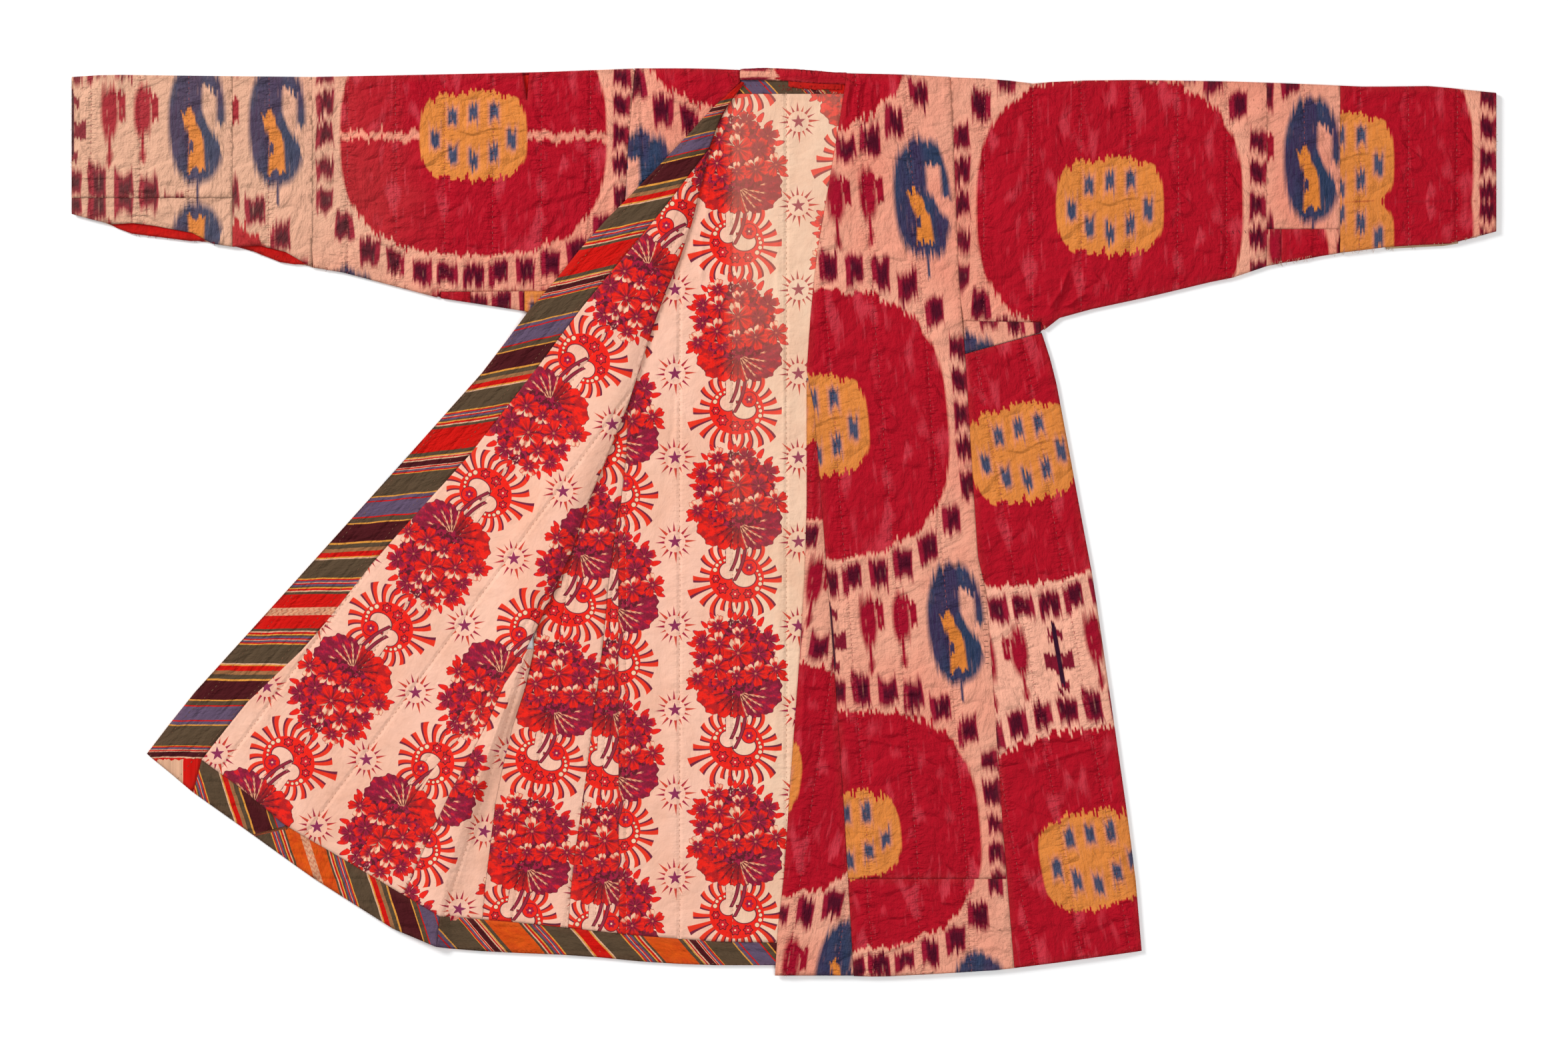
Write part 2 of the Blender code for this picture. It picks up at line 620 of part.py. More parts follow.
def front_grid():
    """Rows of the turned front: facing columns, then lining columns, then the hem's row."""
    near = [4.0, 2.0, 0.7, 0.0]
    rows = []
    last = UPPER_ROWS + LOWER_ROWS
    for row in range(last + 1):
        free, seam, right = front_row(row)
        width = hypot(seam[0] - right[0], seam[1] - right[1])
        scale = min(1.0, width / 8.0)
        close = list(near)
        if row >= UPPER_ROWS:
            close[2] = 0.06
        places = [d * scale for d in close]
        wide = steps(width, places[0], 2 * FRONT_CHANNELS)[:-1] + places
        points = [(free, None), (midway(free, seam, 0.5), None)]
        for d in wide:
            share = 1.0 - d / width if width > 0.0 else 1.0
            points.append((midway(seam, right, share), d))
        line = []
        for (x, y), d in points:
            if row == last and d is not None:
                y = down_at(HEM_SEAM, x)
            gone = hypot(x - right[0], y - right[1]) if d is None else d
            line.append((x, y, front_cloth_height(x, y, row, gone)))
        rows.append(line)
    hem = []
    for x, y, z in rows[-1][2:]:
        hem.append((*hem_point(x), z * 0.7))
    corner = (FREE_EDGE[-1][0] + 0.4, FREE_EDGE[-1][1] + 0.34, 0.0)
    middle = ((corner[0] + hem[0][0]) / 2.0, (corner[1] + hem[0][1]) / 2.0 - 0.05, 0.0)
    rows.append([corner, middle] + hem)
    return rows


def inset(grid, left=False, right=False):
    """Moves a grid's side columns in by half a seam's gap."""
    moved = []
    for row in grid:
        row = list(row)
        if left:
            row[0] = (row[0][0] + SEAM, *row[0][1:])
        if right:
            row[-1] = (row[-1][0] - SEAM, *row[-1][1:])
        moved.append(row)
    return moved


def skirt_grid(lines, middles):
    """Rows between skirt lines, with extra columns between some of them, and the hem's row."""
    rows = []
    for r in range(LOWER_ROWS + 1):
        share = r / LOWER_ROWS
        row = []
        for index, line in enumerate(lines):
            x, y = skirt_point(line, share)
            if r == LOWER_ROWS:
                y = down_at(HEM_SEAM, x)
            point = (x, y, SKIRT_FOLD[line][r])
            if index and middles[index - 1]:
                before = row[-1]
                row.append(tuple((a + b) / 2.0 for a, b in zip(before, point)))
            row.append(point)
        rows.append(row)
    foot = []
    for index, line in enumerate(lines):
        x = skirt_point(line, 1.0)[0]
        point = (*hem_point(x), SKIRT_FOLD[line][-1])
        if index and middles[index - 1]:
            foot.append(tuple((a + b) / 2.0 for a, b in zip(foot[-1], point)))
        foot.append(point)
    rows.append(foot)
    return rows


def build_turned_front(robe):
    grid = front_grid()
    facing_end, roll_end = 3, len(grid[0]) - 1

    cloth = inset([row[:roll_end] for row in grid[FIRST_CLOTH_ROW:]], right=True)
    lay("right_front", cloth, OUTER_WALL, robe, "ikat_pink")
    facing = inset([row[:facing_end] for row in grid], right=True)
    lay("front_facing", facing, LINING_WALL, robe, "striped_cotton", ON_OUTER)
    lining = [row[facing_end - 1:] for row in grid[FIRST_LINING_ROW:-1]]
    lining[-1] = [(x, y - SEAM, z) for x, y, z in lining[-1]]
    rises = [PUFF if i % 2 else 0.0 for i in range(2 * FRONT_CHANNELS)]
    rises += [0.0] * (len(lining[0]) - len(rises))
    lining = inset(lining, True, True)
    lay("lining_front", lining, LINING_WALL, robe, "printed_cotton", ON_OUTER, rises)

    wedge = skirt_grid(["wedge_left", "wedge_right"], [False])
    fold = skirt_grid(
        ["wedge_right", "crest", "valley", "side_seam"], [True, False, True]
    )
    gore = [a[:-1] + b for a, b in zip(wedge, fold)]
    lay("right_side_gore", inset(gore, True, True), OUTER_WALL, robe, "ikat_pink")
    for name, piece in (("lining_front_wedge", wedge), ("lining_fold", fold)):
        lining = [list(row) for row in piece[:-1]]
        lining[-1] = [(x, y - SEAM, z) for x, y, z in lining[-1]]
        lay(name, inset(lining, True, True), LINING_WALL, robe, "printed_cotton", ON_OUTER)

    crest = 3
    head = grid[-2][facing_end - 1:] + gore[-2][1:crest + 1]
    foot = grid[-1][facing_end - 1:] + gore[-1][1:crest + 1]
    strip = inset([[(x, y + SEAM, z) for x, y, z in head], foot], True, True)
    lay("hem_facing_front", strip, LINING_WALL, robe, "striped_cotton", ON_OUTER)
    ends = steps(SIDE_SEAM[-1][0], 1.4, 8)[1:]
    head = gore[-2][crest:] + [(x, down_at(HEM_SEAM, x), 0.0) for x in ends]
    foot = gore[-1][crest:] + [(*hem_point(x), 0.0) for x in ends]
    strip = inset([[(x, y + SEAM, z) for x, y, z in head], foot], True, True)
    lay("hem_facing_back", strip, LINING_WALL, robe, "striped_cotton", ON_OUTER)

    def shoulder_right(down):
        return across_at(TURNED_FOLD, max(down, 2.2)) - (0.42 if down < 10.0 else 0.85)

    def shoulder_height(across, down):
        from_top = down - down_at(SHOULDER_LINE, across)
        return between(BACK_LINING, FRONT, smooth(from_top / 1.2))

    shares = [0.0, 0.25, 0.5, 0.75, 1.0]
    downs = [0.4, 1.2, 2.2, 4.8, 8.0, 10.6, 13.2, 17.9, 21.0, 24.9, 28.0, 31.7, 35.0, 37.5]
    patch = panel(
        downs, lambda d: across_at(RIGHT_ARMHOLE, d), shoulder_right, shares, shoulder_height
    )
    patch[0] = [(x, down_at(SHOULDER_LINE, x), BACK_LINING) for x, y, z in patch[0]]
    lay("right_front_shoulder", patch, OUTER_WALL, robe, "ikat_crimson")


# ---------------------------------------------------------------- sleeves
def sleeve_height(across, down, foot, foot_level):
    """Underside of a sleeve's upper wall: it comes down to the lower wall at its seam."""
    rise = smooth((foot - down) / 1.5)
    level = between(foot_level, SLEEVE_FRONT, rise)
    return level + rise * crease_height(across, down)


def puff(across, lines):
    """How far the padding raises a sleeve between two lines of quilting."""
    for low, high in zip(lines, lines[1:]):
        if low < across < high:
            return PUFF * sin(pi * (across - low) / (high - low))
    return 0.0


def foot_of(column, line):
    """Where a column meets a lower edge, as (across, down)."""
    down = line(column(30.0))
    return column(down), line(column(down))


def sleeve_walls(
    columns, front_foot, back_foot, shares, back_rows, quilting, foot_level=BACK_LINING
):
    """Inner and outer points of a sleeve: up the front from its lower seam, round the fold
    and down the back. columns holds functions that give across at a distance down."""
    radius = (SLEEVE_FRONT + OUTER_WALL) / 2.0
    inner_radius = radius - OUTER_WALL
    inside, outside = [], []
    for share in shares:
        low, high = [], []
        for column in columns:
            x, foot = foot_of(column, front_foot)
            crown = down_at(SHOULDER_LINE, x) + radius * 0.1
            down = between(foot, crown, share)
            x = column(down)
            z = sleeve_height(x, down, foot, foot_level)
            fade = smooth((down - crown) / 1.5)
            z = between(SLEEVE_FRONT, z, fade)
            low.append((x, down, z))
            rise = puff(x, quilting) * fade * smooth((foot - down) / 1.5)
            high.append((x, down, z + OUTER_WALL + rise))
        inside.append(low)
        outside.append(high)
    for angle in (45.0, 0.0, -45.0, -90.0):
        low, high = [], []
        for column in columns:
            x = column(2.0)
            centre = down_at(SHOULDER_LINE, x) + radius * 0.1
            turn, rise = cos(radians(angle)) * 0.1, sin(radians(angle))
            low.append((x, centre - inner_radius * turn, radius + inner_radius * rise))
            high.append((x, centre - radius * turn, radius + radius * rise))
        inside.append(low)
        outside.append(high)
    for share in even(back_rows)[1:]:
        low, high = [], []
        for column in columns:
            x, foot = foot_of(column, back_foot)
            crown = down_at(SHOULDER_LINE, x) + radius * 0.1
            down = between(crown, foot, share)
            x = column(down)
            low.append((x, down, BACK + OUTER_WALL))
            high.append((x, down, BACK))
        inside.append(low)
        outside.append(high)
    return inside, outside


def straight(across):
    return lambda down: across


def cut_rips(item, rips, cutters):
    """Tears a notch from the sleeve's upper fold down to each rip's tip."""
    for index, (left, right, tip, depth) in enumerate(rips):
        edge = down_at(SHOULDER_LINE, (left + right) / 2.0)
        corners = [(left, edge - 1.0), (right, edge - 1.0), (right, edge)]
        corners += [(tip, depth), (left, edge)]
        shape = bmesh.new()
        base = [shape.verts.new(place((x, y, 3.0))) for x, y in corners]
        shape.faces.new(base)
        grown = bmesh.ops.extrude_face_region(shape, geom=shape.faces[:], use_keep_orig=True)
        lifted = [v for v in grown["geom"] if isinstance(v, bmesh.types.BMVert)]
        bmesh.ops.translate(shape, verts=lifted, vec=(0.0, 0.0, 8.0 * MM))
        bmesh.ops.recalc_face_normals(shape, faces=shape.faces)
        data = bpy.data.meshes.new(f"rip_{index}")
        shape.to_mesh(data)
        shape.free()
        cutter = bpy.data.objects.new(f"{item.name}_rip_{index}", data)
        cutter.hide_render = True
        cutter.display_type = "WIRE"
        cutters.objects.link(cutter)
        cut = item.modifiers.new(f"rip_{index}", "BOOLEAN")
        cut.operation = "DIFFERENCE"
        cut.object = cutter


def build_sleeves(robe, cutters):
    def left_foot(across):
        if across < 34.1:
            return down_at(LEFT_GUSSET_SEAM, across)
        return down_at(LEFT_SLEEVE_LOWER_EDGE, across)

    def left_back_foot(across):
        if across < 33.9:
            return between(37.7, 34.9, (across - 23.9) / 10.0)
        return down_at(LEFT_SLEEVE_LOWER_EDGE, across) - 0.1

    def right_foot(across):
        if across > RIGHT_GUSSET_SEAM[0][0] - 0.1:
            return down_at(RIGHT_GUSSET_SEAM, across)
        return down_at(RIGHT_SLEEVE_LOWER_EDGE, across)

    def right_back_foot(across):
        return down_at(RIGHT_SLEEVE_LOWER_EDGE, across) - 0.15

    def peeking_foot(across):
        """Where the red lining peeks out, the upper wall ends above it."""
        return right_foot(across) - read(RIGHT_PEEK, across)

    def places_with(low, high, corners):
        return rows_with(low, high, 3.2, [(0.0, corner) for corner in corners])

    def fan(first, last, corners, depth):
        """Columns from one line to another, with one at each corner of the lower edge."""
        low, high = first(depth), last(depth)
        places = places_with(low, high, corners)

        def column(share):
            return lambda down: between(first(down), last(down), share)
        return [column((place - low) / (high - low)) for place in places]

    def seam_shares(first, last, spacing, line):
        """Shares of the way down whose rows meet every corner of the armhole seam."""
        return [(row - first) / (last - first) for row in rows_with(first, last, spacing, line)]

    def half(name, columns, seam_column, armhole, foot, back_foot, quilting):
        """A full loom width is two walls: the front with the fold, and the back."""
        x, seam_foot = foot_of(columns[seam_column], foot)
        crown = down_at(SHOULDER_LINE, columns[seam_column](2.0)) + 0.26
        shares = [1.0 - share for share in seam_shares(crown, seam_foot, 3.4, armhole)][::-1]
        inside, outside = sleeve_walls(columns, foot, back_foot, shares, 1, quilting)
        item = make_wall(name, inside[:-1], outside[:-1], robe, "ikat_crimson")
        cut_rips(item, RIPS[name], cutters)
        x, seam_foot = foot_of(columns[seam_column], back_foot)
        grid = []
        for share in seam_shares(crown + 0.06, seam_foot, 12.0, armhole):
            row = []
            for column in columns:
                x, back_end = foot_of(column, back_foot)
                start = down_at(SHOULDER_LINE, column(2.0)) + 0.32
                down = between(start, back_end, share)
                row.append((column(down), down, BACK))
            grid.append(row)
        lay(f"{name}_back", grid, OUTER_WALL, robe, "ikat_crimson")

    def ring(name, first, last, foot, back_foot, quilting, colour, foot_level):
        """A narrower width is one wall right round."""
        columns = [straight(x) for x in places_with(first, last, quilting)]
        inside, outside = sleeve_walls(columns, foot, back_foot, even(7), 3, quilting, foot_level)
        make_wall(name, inside, outside, robe, colour)

    def left_armhole(down):
        return across_at(LEFT_ARMHOLE, down) + SEAM

    def right_armhole(down):
        return across_at(RIGHT_ARMHOLE, down) - SEAM

    corners = LEFT_SLEEVE_QUILTING + [34.0, 36.4]
    columns = fan(left_armhole, straight(LEFT_STRIP_SEAM - SEAM), corners, 33.5)
    half("sleeve_left_upper", columns, 0, LEFT_ARMHOLE, left_foot, left_back_foot,
         LEFT_SLEEVE_QUILTING)
    corners = RIGHT_SLEEVE_QUILTING + [-45.4]
    columns = fan(straight(RIGHT_STRIP_SEAM + SEAM), right_armhole, corners, 29.5)
    half("sleeve_right_upper", columns, -1, RIGHT_ARMHOLE, peeking_foot, right_back_foot,
         RIGHT_SLEEVE_QUILTING)

    def patch_foot(across):
        return LEFT_PATCH_SEAM - SEAM

    def cuff_foot(across):
        return RIGHT_CUFF_PIECE_SEAM - SEAM

    ring("sleeve_left_strip", LEFT_STRIP_SEAM + SEAM, LEFT_CUFF_SEAM - SEAM,
         patch_foot, left_back_foot, LEFT_SLEEVE_QUILTING, "ikat_pink", SLEEVE_FRONT)
    ring("sleeve_left_cuff", LEFT_CUFF_SEAM + SEAM, HALF_SPAN,
         left_foot, left_back_foot, LEFT_SLEEVE_QUILTING, "ikat_crimson", CUFF_FOOT)
    ring("sleeve_right_strip", RIGHT_CUFF_SEAM + SEAM, RIGHT_STRIP_SEAM - SEAM,
         peeking_foot, right_back_foot, RIGHT_SLEEVE_QUILTING, "ikat_pink", CUFF_FOOT)
    ring("sleeve_right_cuff", -HALF_SPAN, RIGHT_CUFF_SEAM - SEAM,
         cuff_foot, right_back_foot, RIGHT_SLEEVE_QUILTING, "ikat_pink", SLEEVE_FRONT)

    def strip_piece(name, first, last, count, head, foot, colour, levels):
        """A patch sewn below a sleeve's piecing seam, on its upper wall."""
        grid = []
        for share, level in zip(even(len(levels) - 1), levels):
            row = []
            for x in steps(first, last, count):
                row.append((x, between(head(x) + SEAM, foot(x), share), level))
            grid.append(row)
        lay(name, grid, OUTER_WALL, robe, colour)

    edge = [SLEEVE_FRONT, SLEEVE_FRONT, BACK_LINING]
    patch_seam = straight(LEFT_PATCH_SEAM)
    strip_piece("sleeve_left_patch_pink", LEFT_STRIP_SEAM + SEAM, 65.6, 1, patch_seam, left_foot,
                "ikat_pink", edge)
    strip_piece("sleeve_left_patch_red", 65.66, LEFT_CUFF_SEAM - SEAM, 3, patch_seam, left_foot,
                "ikat_crimson", edge)
    strip_piece("sleeve_right_cuff_piece", -HALF_SPAN, RIGHT_CUFF_SEAM - SEAM, 8,
                straight(RIGHT_CUFF_PIECE_SEAM), peeking_foot, "ikat_pink",
                [SLEEVE_FRONT, SLEEVE_FRONT, CUFF_FOOT])

    def gusset_seam(across):
        return down_at(RIGHT_GUSSET_SEAM, across)

    def lower_edge(across):
        return down_at(RIGHT_SLEEVE_LOWER_EDGE, across)

    gussets = [("outer", -45.3, -41.4, 2), ("middle", -41.34, -34.3, 3), ("inner", -34.24, -21.2, 4)]
    for place_name, first, last, count in gussets:
        strip_piece(f"sleeve_right_gusset_{place_name}", first, last, count, gusset_seam,
                    lower_edge, "ikat_crimson", [SLEEVE_FRONT - 0.6, BACK_LINING])
    grid = []
    for share in even(2):
        row = []
        for place in even(4):
            x = between(left_armhole(33.5) + SEAM, 33.9, place)
            down = between(down_at(LEFT_GUSSET_SEAM, x) + SEAM, between(37.74, 34.95, place), share)
            x += (left_armhole(down) - left_armhole(33.5)) * (1.0 - place)
            row.append((x, down, between(BACK_LINING, SLEEVE_FRONT, share)))
        grid.append(row)
    lay("sleeve_left_gusset", grid, OUTER_WALL, robe, "ikat_pink")


def build_sleeve_linings(robe):
    """Flat inside layers, where they show at rips and below the sleeves' lower edges."""
    grid = []
    shares = [0.0, 0.5, 1.0]
    stations = steps(-90.0, -62.6, 14)
    for share in shares:
        row = []
        for x in stations:
            peek = read(RIGHT_PEEK, x)
            foot = down_at(RIGHT_SLEEVE_LOWER_EDGE, x) - (0.05 if peek > 0.3 else 0.4)
            row.append((x, between(foot - 6.0, foot, share), BACK_LINING))
        grid.append(row)
    lay("sleeve_right_lining_edge", grid, 1.0, robe, "red_cotton")
    rips = [("right", -36.5, -31.5, 6.5), ("left", 46.5, 52.5, 5.0)]
    for side, first, last, foot in rips:
        grid = []
        for share in even(1):
            row = []
            for x in steps(first, last, 2):
                head = down_at(SHOULDER_LINE, x) + 0.35
                row.append((x, between(head, foot, share), BACK_LINING))
            grid.append(row)
        lay(f"sleeve_{side}_lining_rip", grid, 1.0, robe, "red_cotton")
    grid = []
    for share in even(2):
        row = []
        for x in steps(79.5, 89.0, 5):
            foot = down_at(LEFT_SLEEVE_LOWER_EDGE, x) + 0.25
            row.append((x, between(foot - 3.5, foot, share), BACK_LINING))
        grid.append(row)
    lay("sleeve_left_lining_edge", grid, 1.0, robe, "pale_cotton")


# ---------------------------------------------------------------- neck
def build_neck(robe):
    stations = steps(-5.35, 7.95, 9)
    grid = []
    levels = [(0.0, BACK), (0.12, BACK_LINING), (0.5, FRONT), (1.0, FRONT)]
    for share, level in levels:
        row = []
        for x in stations:
            head = down_at(SHOULDER_LINE, x)
            row.append((x, between(head, down_at(BINDING_LOWER_EDGE, x), share), level))
        grid.append(row)
    lay("neck_binding", grid, OUTER_WALL, robe, "ikat_crimson")
    top = [(x, down_at(BINDING_LOWER_EDGE, x) - 0.3, BACK_LINING) for x in steps(-5.6, 7.9, 4)]
    foot = [(x, NECK_FACING_FOOT, BACK_LINING) for x in steps(-6.6, 8.8, 4)]
    grid = [top, foot]
    lay("neck_facing", grid, LINING_WALL, robe, "striped_cotton")
    stations = steps(0.6, 7.6, 7)
    grid = [
        [(x, down_at(BINDING_LOWER_EDGE, x) + 0.03, FRONT) for x in stations],
        [(x, down_at(RIBBON_FOOT, x), FRONT) for x in stations],
    ]
    lay("neck_torn_ribbon", grid, 1.0, robe, "red_cotton")


def main():
    for old in list(bpy.data.objects):
        bpy.data.objects.remove(old, do_unlink=True)
    robe = bpy.data.collections.new("chapan_robe")
    cutters = bpy.data.collections.new("cutters")
    bpy.context.scene.collection.children.link(robe)
    bpy.context.scene.collection.children.link(cutters)
    build_back(robe)
    build_back_lining(robe)
    build_turned_front(robe)
    build_left_front(robe)
    build_sleeves(robe, cutters)
    build_sleeve_linings(robe)
    build_neck(robe)


main()
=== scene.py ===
"""Looks of a Central Asian quilted robe (chapan) that lies open on a pale surface.

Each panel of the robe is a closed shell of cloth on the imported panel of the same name. Its
upper side gets the quilting, the creases and the rounding at the seams. Every shell carries
a UV map called "cloth" that gives the place on the woven cloth in centimetres: across the
loom width, and down along the warp. The three cloths are drawn from it: warp ikat, the
printed cotton of the lining and the striped cotton of the facings.

"across" and "down" are centimetres on the laid-out robe: across from the middle of the sleeve
span, down from the top of the shoulder line. Heights are millimetres.
"""

from math import atan2, cos, hypot, pi, radians, sin
from random import Random

import bmesh
import bpy
import numpy as np
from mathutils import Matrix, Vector, noise
from mathutils.bvhtree import BVHTree
from mathutils.kdtree import KDTree


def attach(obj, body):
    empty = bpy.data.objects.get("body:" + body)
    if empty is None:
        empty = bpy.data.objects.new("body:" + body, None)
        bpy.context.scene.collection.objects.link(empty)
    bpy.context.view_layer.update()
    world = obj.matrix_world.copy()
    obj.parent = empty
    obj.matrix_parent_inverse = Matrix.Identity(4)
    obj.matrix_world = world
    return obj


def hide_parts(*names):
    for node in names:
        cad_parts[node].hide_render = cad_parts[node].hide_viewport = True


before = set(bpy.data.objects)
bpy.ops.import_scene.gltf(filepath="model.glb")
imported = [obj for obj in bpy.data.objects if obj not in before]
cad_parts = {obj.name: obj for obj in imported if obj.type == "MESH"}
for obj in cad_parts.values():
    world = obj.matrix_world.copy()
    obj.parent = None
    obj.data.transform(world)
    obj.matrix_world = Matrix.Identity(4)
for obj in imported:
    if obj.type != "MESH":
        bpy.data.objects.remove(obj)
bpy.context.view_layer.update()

CM = 0.01
MM = 0.001
HALF_LENGTH = 60.05       # middle of the robe's length to the top of the shoulder line
ROOM_LIGHT = 1.22         # how bright a white cloth looks on the floor of this room
FINE = 6.0                # longest edge of the mesh where it shows, mm
CREASED = 2.2             # longest edge along the creases, mm
PLAIN = 24.0              # longest edge on undersides and hidden layers, mm
WARP_REPEAT = 57.0        # from one disc of the ikat to the next
PRINT_ACROSS = 16.3       # from one column of bouquets to the next
PRINT_DOWN = 22.2         # from one bouquet to the next
SHOULDER_FOLD = 1.4       # down to where the sleeves' and the back's cloth folds under
UNDER_WALL = 1.75 * MM    # what lies lower is the under side of a sleeve or the back
SLEEVE_TOP = 2.4 * MM     # what lies higher is the upper wall of a sleeve
DEEPEST = 14.0 * MM       # more than the thickest stack of layers
STITCH_LIFT = 0.15 * MM   # how far a running stitch stands out of the cloth
VIEW_WIDTH = 2352 * 0.88 * MM    # the strip of the surface that the camera takes in

# ---------------------------------------------------------------- where each piece was cut
# Each piece: cloth, the place on the robe of the cloth's own (0, 0), how far the warp leans
# to the right on its way down in degrees, and how far it is stretched along the warp. Where
# that is below zero the cloth was turned over end for end.
PIECES = {
    "left_front": ("ikat", 4.1, 47.5, 4.5, 1.0),
    "left_front_hem_piece": ("ikat", 3.6, 47.5, 4.5, 1.0),
    "left_front_strip": ("ikat", 2.6, 43.5, -8.5, 0.88),
    "left_side_gore": ("ikat", 31.5, 50.9, 10.0, 0.955),
    "neck_binding": ("ikat", 17.3, 2.6, 90.0, 1.0),
    "right_front_shoulder": ("ikat", -3.2, -12.6, 3.0, 1.0),
    "right_front": ("ikat", -20.0, 44.0, -36.3, 1.0),
    "right_side_gore": ("ikat", -42.0, 80.0, -20.0, 1.0),
    "back": ("ikat", 1.5, 47.0, 0.0, 1.0),
    "back_left_gore": ("ikat", 33.0, 52.0, 8.0, 1.0),
    "back_right_gore": ("ikat", -29.0, 60.0, -6.0, 1.0),
    "sleeve_left_upper": ("ikat", 43.0, 18.3, 0.0, 0.95),
    "sleeve_left_upper_back": ("ikat", 43.0, 18.3, 0.0, 0.95),
    "sleeve_left_strip": ("ikat", 53.2, -15.9, 0.0, 1.0),
    "sleeve_left_cuff": ("ikat_cuff", 73.4, 12.4, 0.0, 0.94),
    "sleeve_left_gusset": ("ikat", 38.0, 13.0, 8.0, 1.0),
    "sleeve_left_patch_pink": ("ikat", 70.0, -4.0, 0.0, 1.0),
    "sleeve_left_patch_red": ("ikat", 54.5, 29.0, 0.0, 1.0),
    "sleeve_right_upper": ("ikat_mirrored", -41.0, 9.0, 0.0, 0.87),
    "sleeve_right_upper_back": ("ikat", -41.0, 9.0, 0.0, 0.87),
    "sleeve_right_strip": ("ikat", -83.4, -20.7, 0.0, 1.0),
    "sleeve_right_cuff": ("ikat", -94.0, -21.0, 0.0, 1.0),
    "sleeve_right_cuff_piece": ("ikat", -94.0, 54.2, 0.0, -1.0),
    "sleeve_right_gusset_inner": ("ikat", -38.0, 32.0, 0.0, 1.0),
    "sleeve_right_gusset_middle": ("ikat", -40.6, 11.5, 0.0, 0.95),
    "sleeve_right_gusset_outer": ("ikat", -53.0, 30.0, 0.0, 1.0),
    "lining_back": ("print", -6.25, 56.8, 0.0, 1.0),
    "lining_back_wedge": ("print", -22.8, 81.6, -3.0, 1.0),
    "lining_side": ("print", -30.2, 81.6, -9.6, 0.95),
    "lining_fold": ("print", -45.6, 93.0, -18.0, 0.97),
    "lining_front_wedge": ("print", -40.8, 81.6, 147.8, 1.0),
    "lining_front": ("print", -32.6, 46.9, 143.7, 0.99),
    "front_facing": ("stripe", 0.0, 0.0, 0.0, 1.0),
    "hem_facing_front": ("faded_stripe", 0.0, 0.0, 0.0, 1.0),
    "hem_facing_back": ("faded_stripe", 0.0, 0.0, 0.0, 1.0),
    "neck_facing": ("stripe", 0.0, 0.0, 0.0, 1.0),
    "neck_torn_ribbon": ("red", 0.0, 0.0, 0.0, 1.0),
    "sleeve_left_lining_rip": ("red", 0.0, 0.0, 0.0, 1.0),
    "sleeve_right_lining_rip": ("red", 0.0, 0.0, 0.0, 1.0),
    "sleeve_right_lining_edge": ("red", 0.0, 0.0, 0.0, 1.0),
    "sleeve_left_lining_edge": ("pale", 0.0, 0.0, 0.0, 1.0),
}
# The left front was eased while it was sewn: down from the shoulder, place along the warp.
LEFT_FRONT_EASE = [
    (-1.0, -48.6), (11.4, -36.1), (26.6, -20.9), (47.5, 0.0), (67.8, 20.9), (82.5, 36.1),
    (101.9, 57.0), (131.9, 93.4),
]
# Where a piece is doubled: its cloth comes back mirrored past this place along the warp.
DOUBLED = {"sleeve_left_cuff": 5.6}
# The middle line of the front facing: down, across, and how steeply the stripes rise.
FACING_LINE = [
    (2.0, -5.0, 0.24), (7.7, -9.8, 0.24), (17.5, -18.0, 0.22), (32.3, -30.4, 0.24),
    (41.6, -38.2, 0.19), (47.3, -43.0, 0.13), (56.1, -50.4, 0.10), (67.2, -59.8, 0.03),
    (79.0, -70.1, 0.0), (91.4, -80.9, 0.0),
]
# Down the middle line of the front facing: down, place across the stripes.
FACING_STRIPES = [
    (2.5, -10.0), (8.4, -3.9), (11.8, -0.75), (36.9, 18.75), (60.0, 38.25), (71.8, 49.03),
    (91.3, 67.0),
]
STRIPE_TURN = 49.03       # the facing cloth's stripes run back in order past this place
# Pieces of which nothing shows from above.
HIDDEN = {
    "back", "back_left_gore", "back_right_gore", "right_front", "right_side_gore",
    "sleeve_left_upper_back", "sleeve_right_upper_back",
}
# Narrow pieces at the neck, which get a fine mesh all over and a ragged edge.
NARROW = {"neck_binding", "neck_torn_ribbon"}
# Pieces whose folds are rounded: how often each point is drawn level with its neighbours.
ROUNDED = {
    "lining_front": 40, "lining_fold": 30, "lining_front_wedge": 20, "front_facing": 20,
    "right_front": 6, "right_side_gore": 4, "left_front": 16, "left_front_strip": 10,
    "left_side_gore": 10, "hem_facing_front": 12, "hem_facing_back": 12,
    "right_front_shoulder": 6, "sleeve_left_upper": 16, "sleeve_right_upper": 16,
}
# Lines of quilting along the warp: place across the cloth of one line, and the spacing.
QUILTED = {
    "ikat": (2.6, 6.4),
    "ikat_mirrored": (2.6, 6.4),
    "ikat_cuff": (2.6, 6.4),
    "print": (-0.5, 7.05),
}
PLAIN_SEWN = (900.0, 1000.0)      # far from any line of quilting

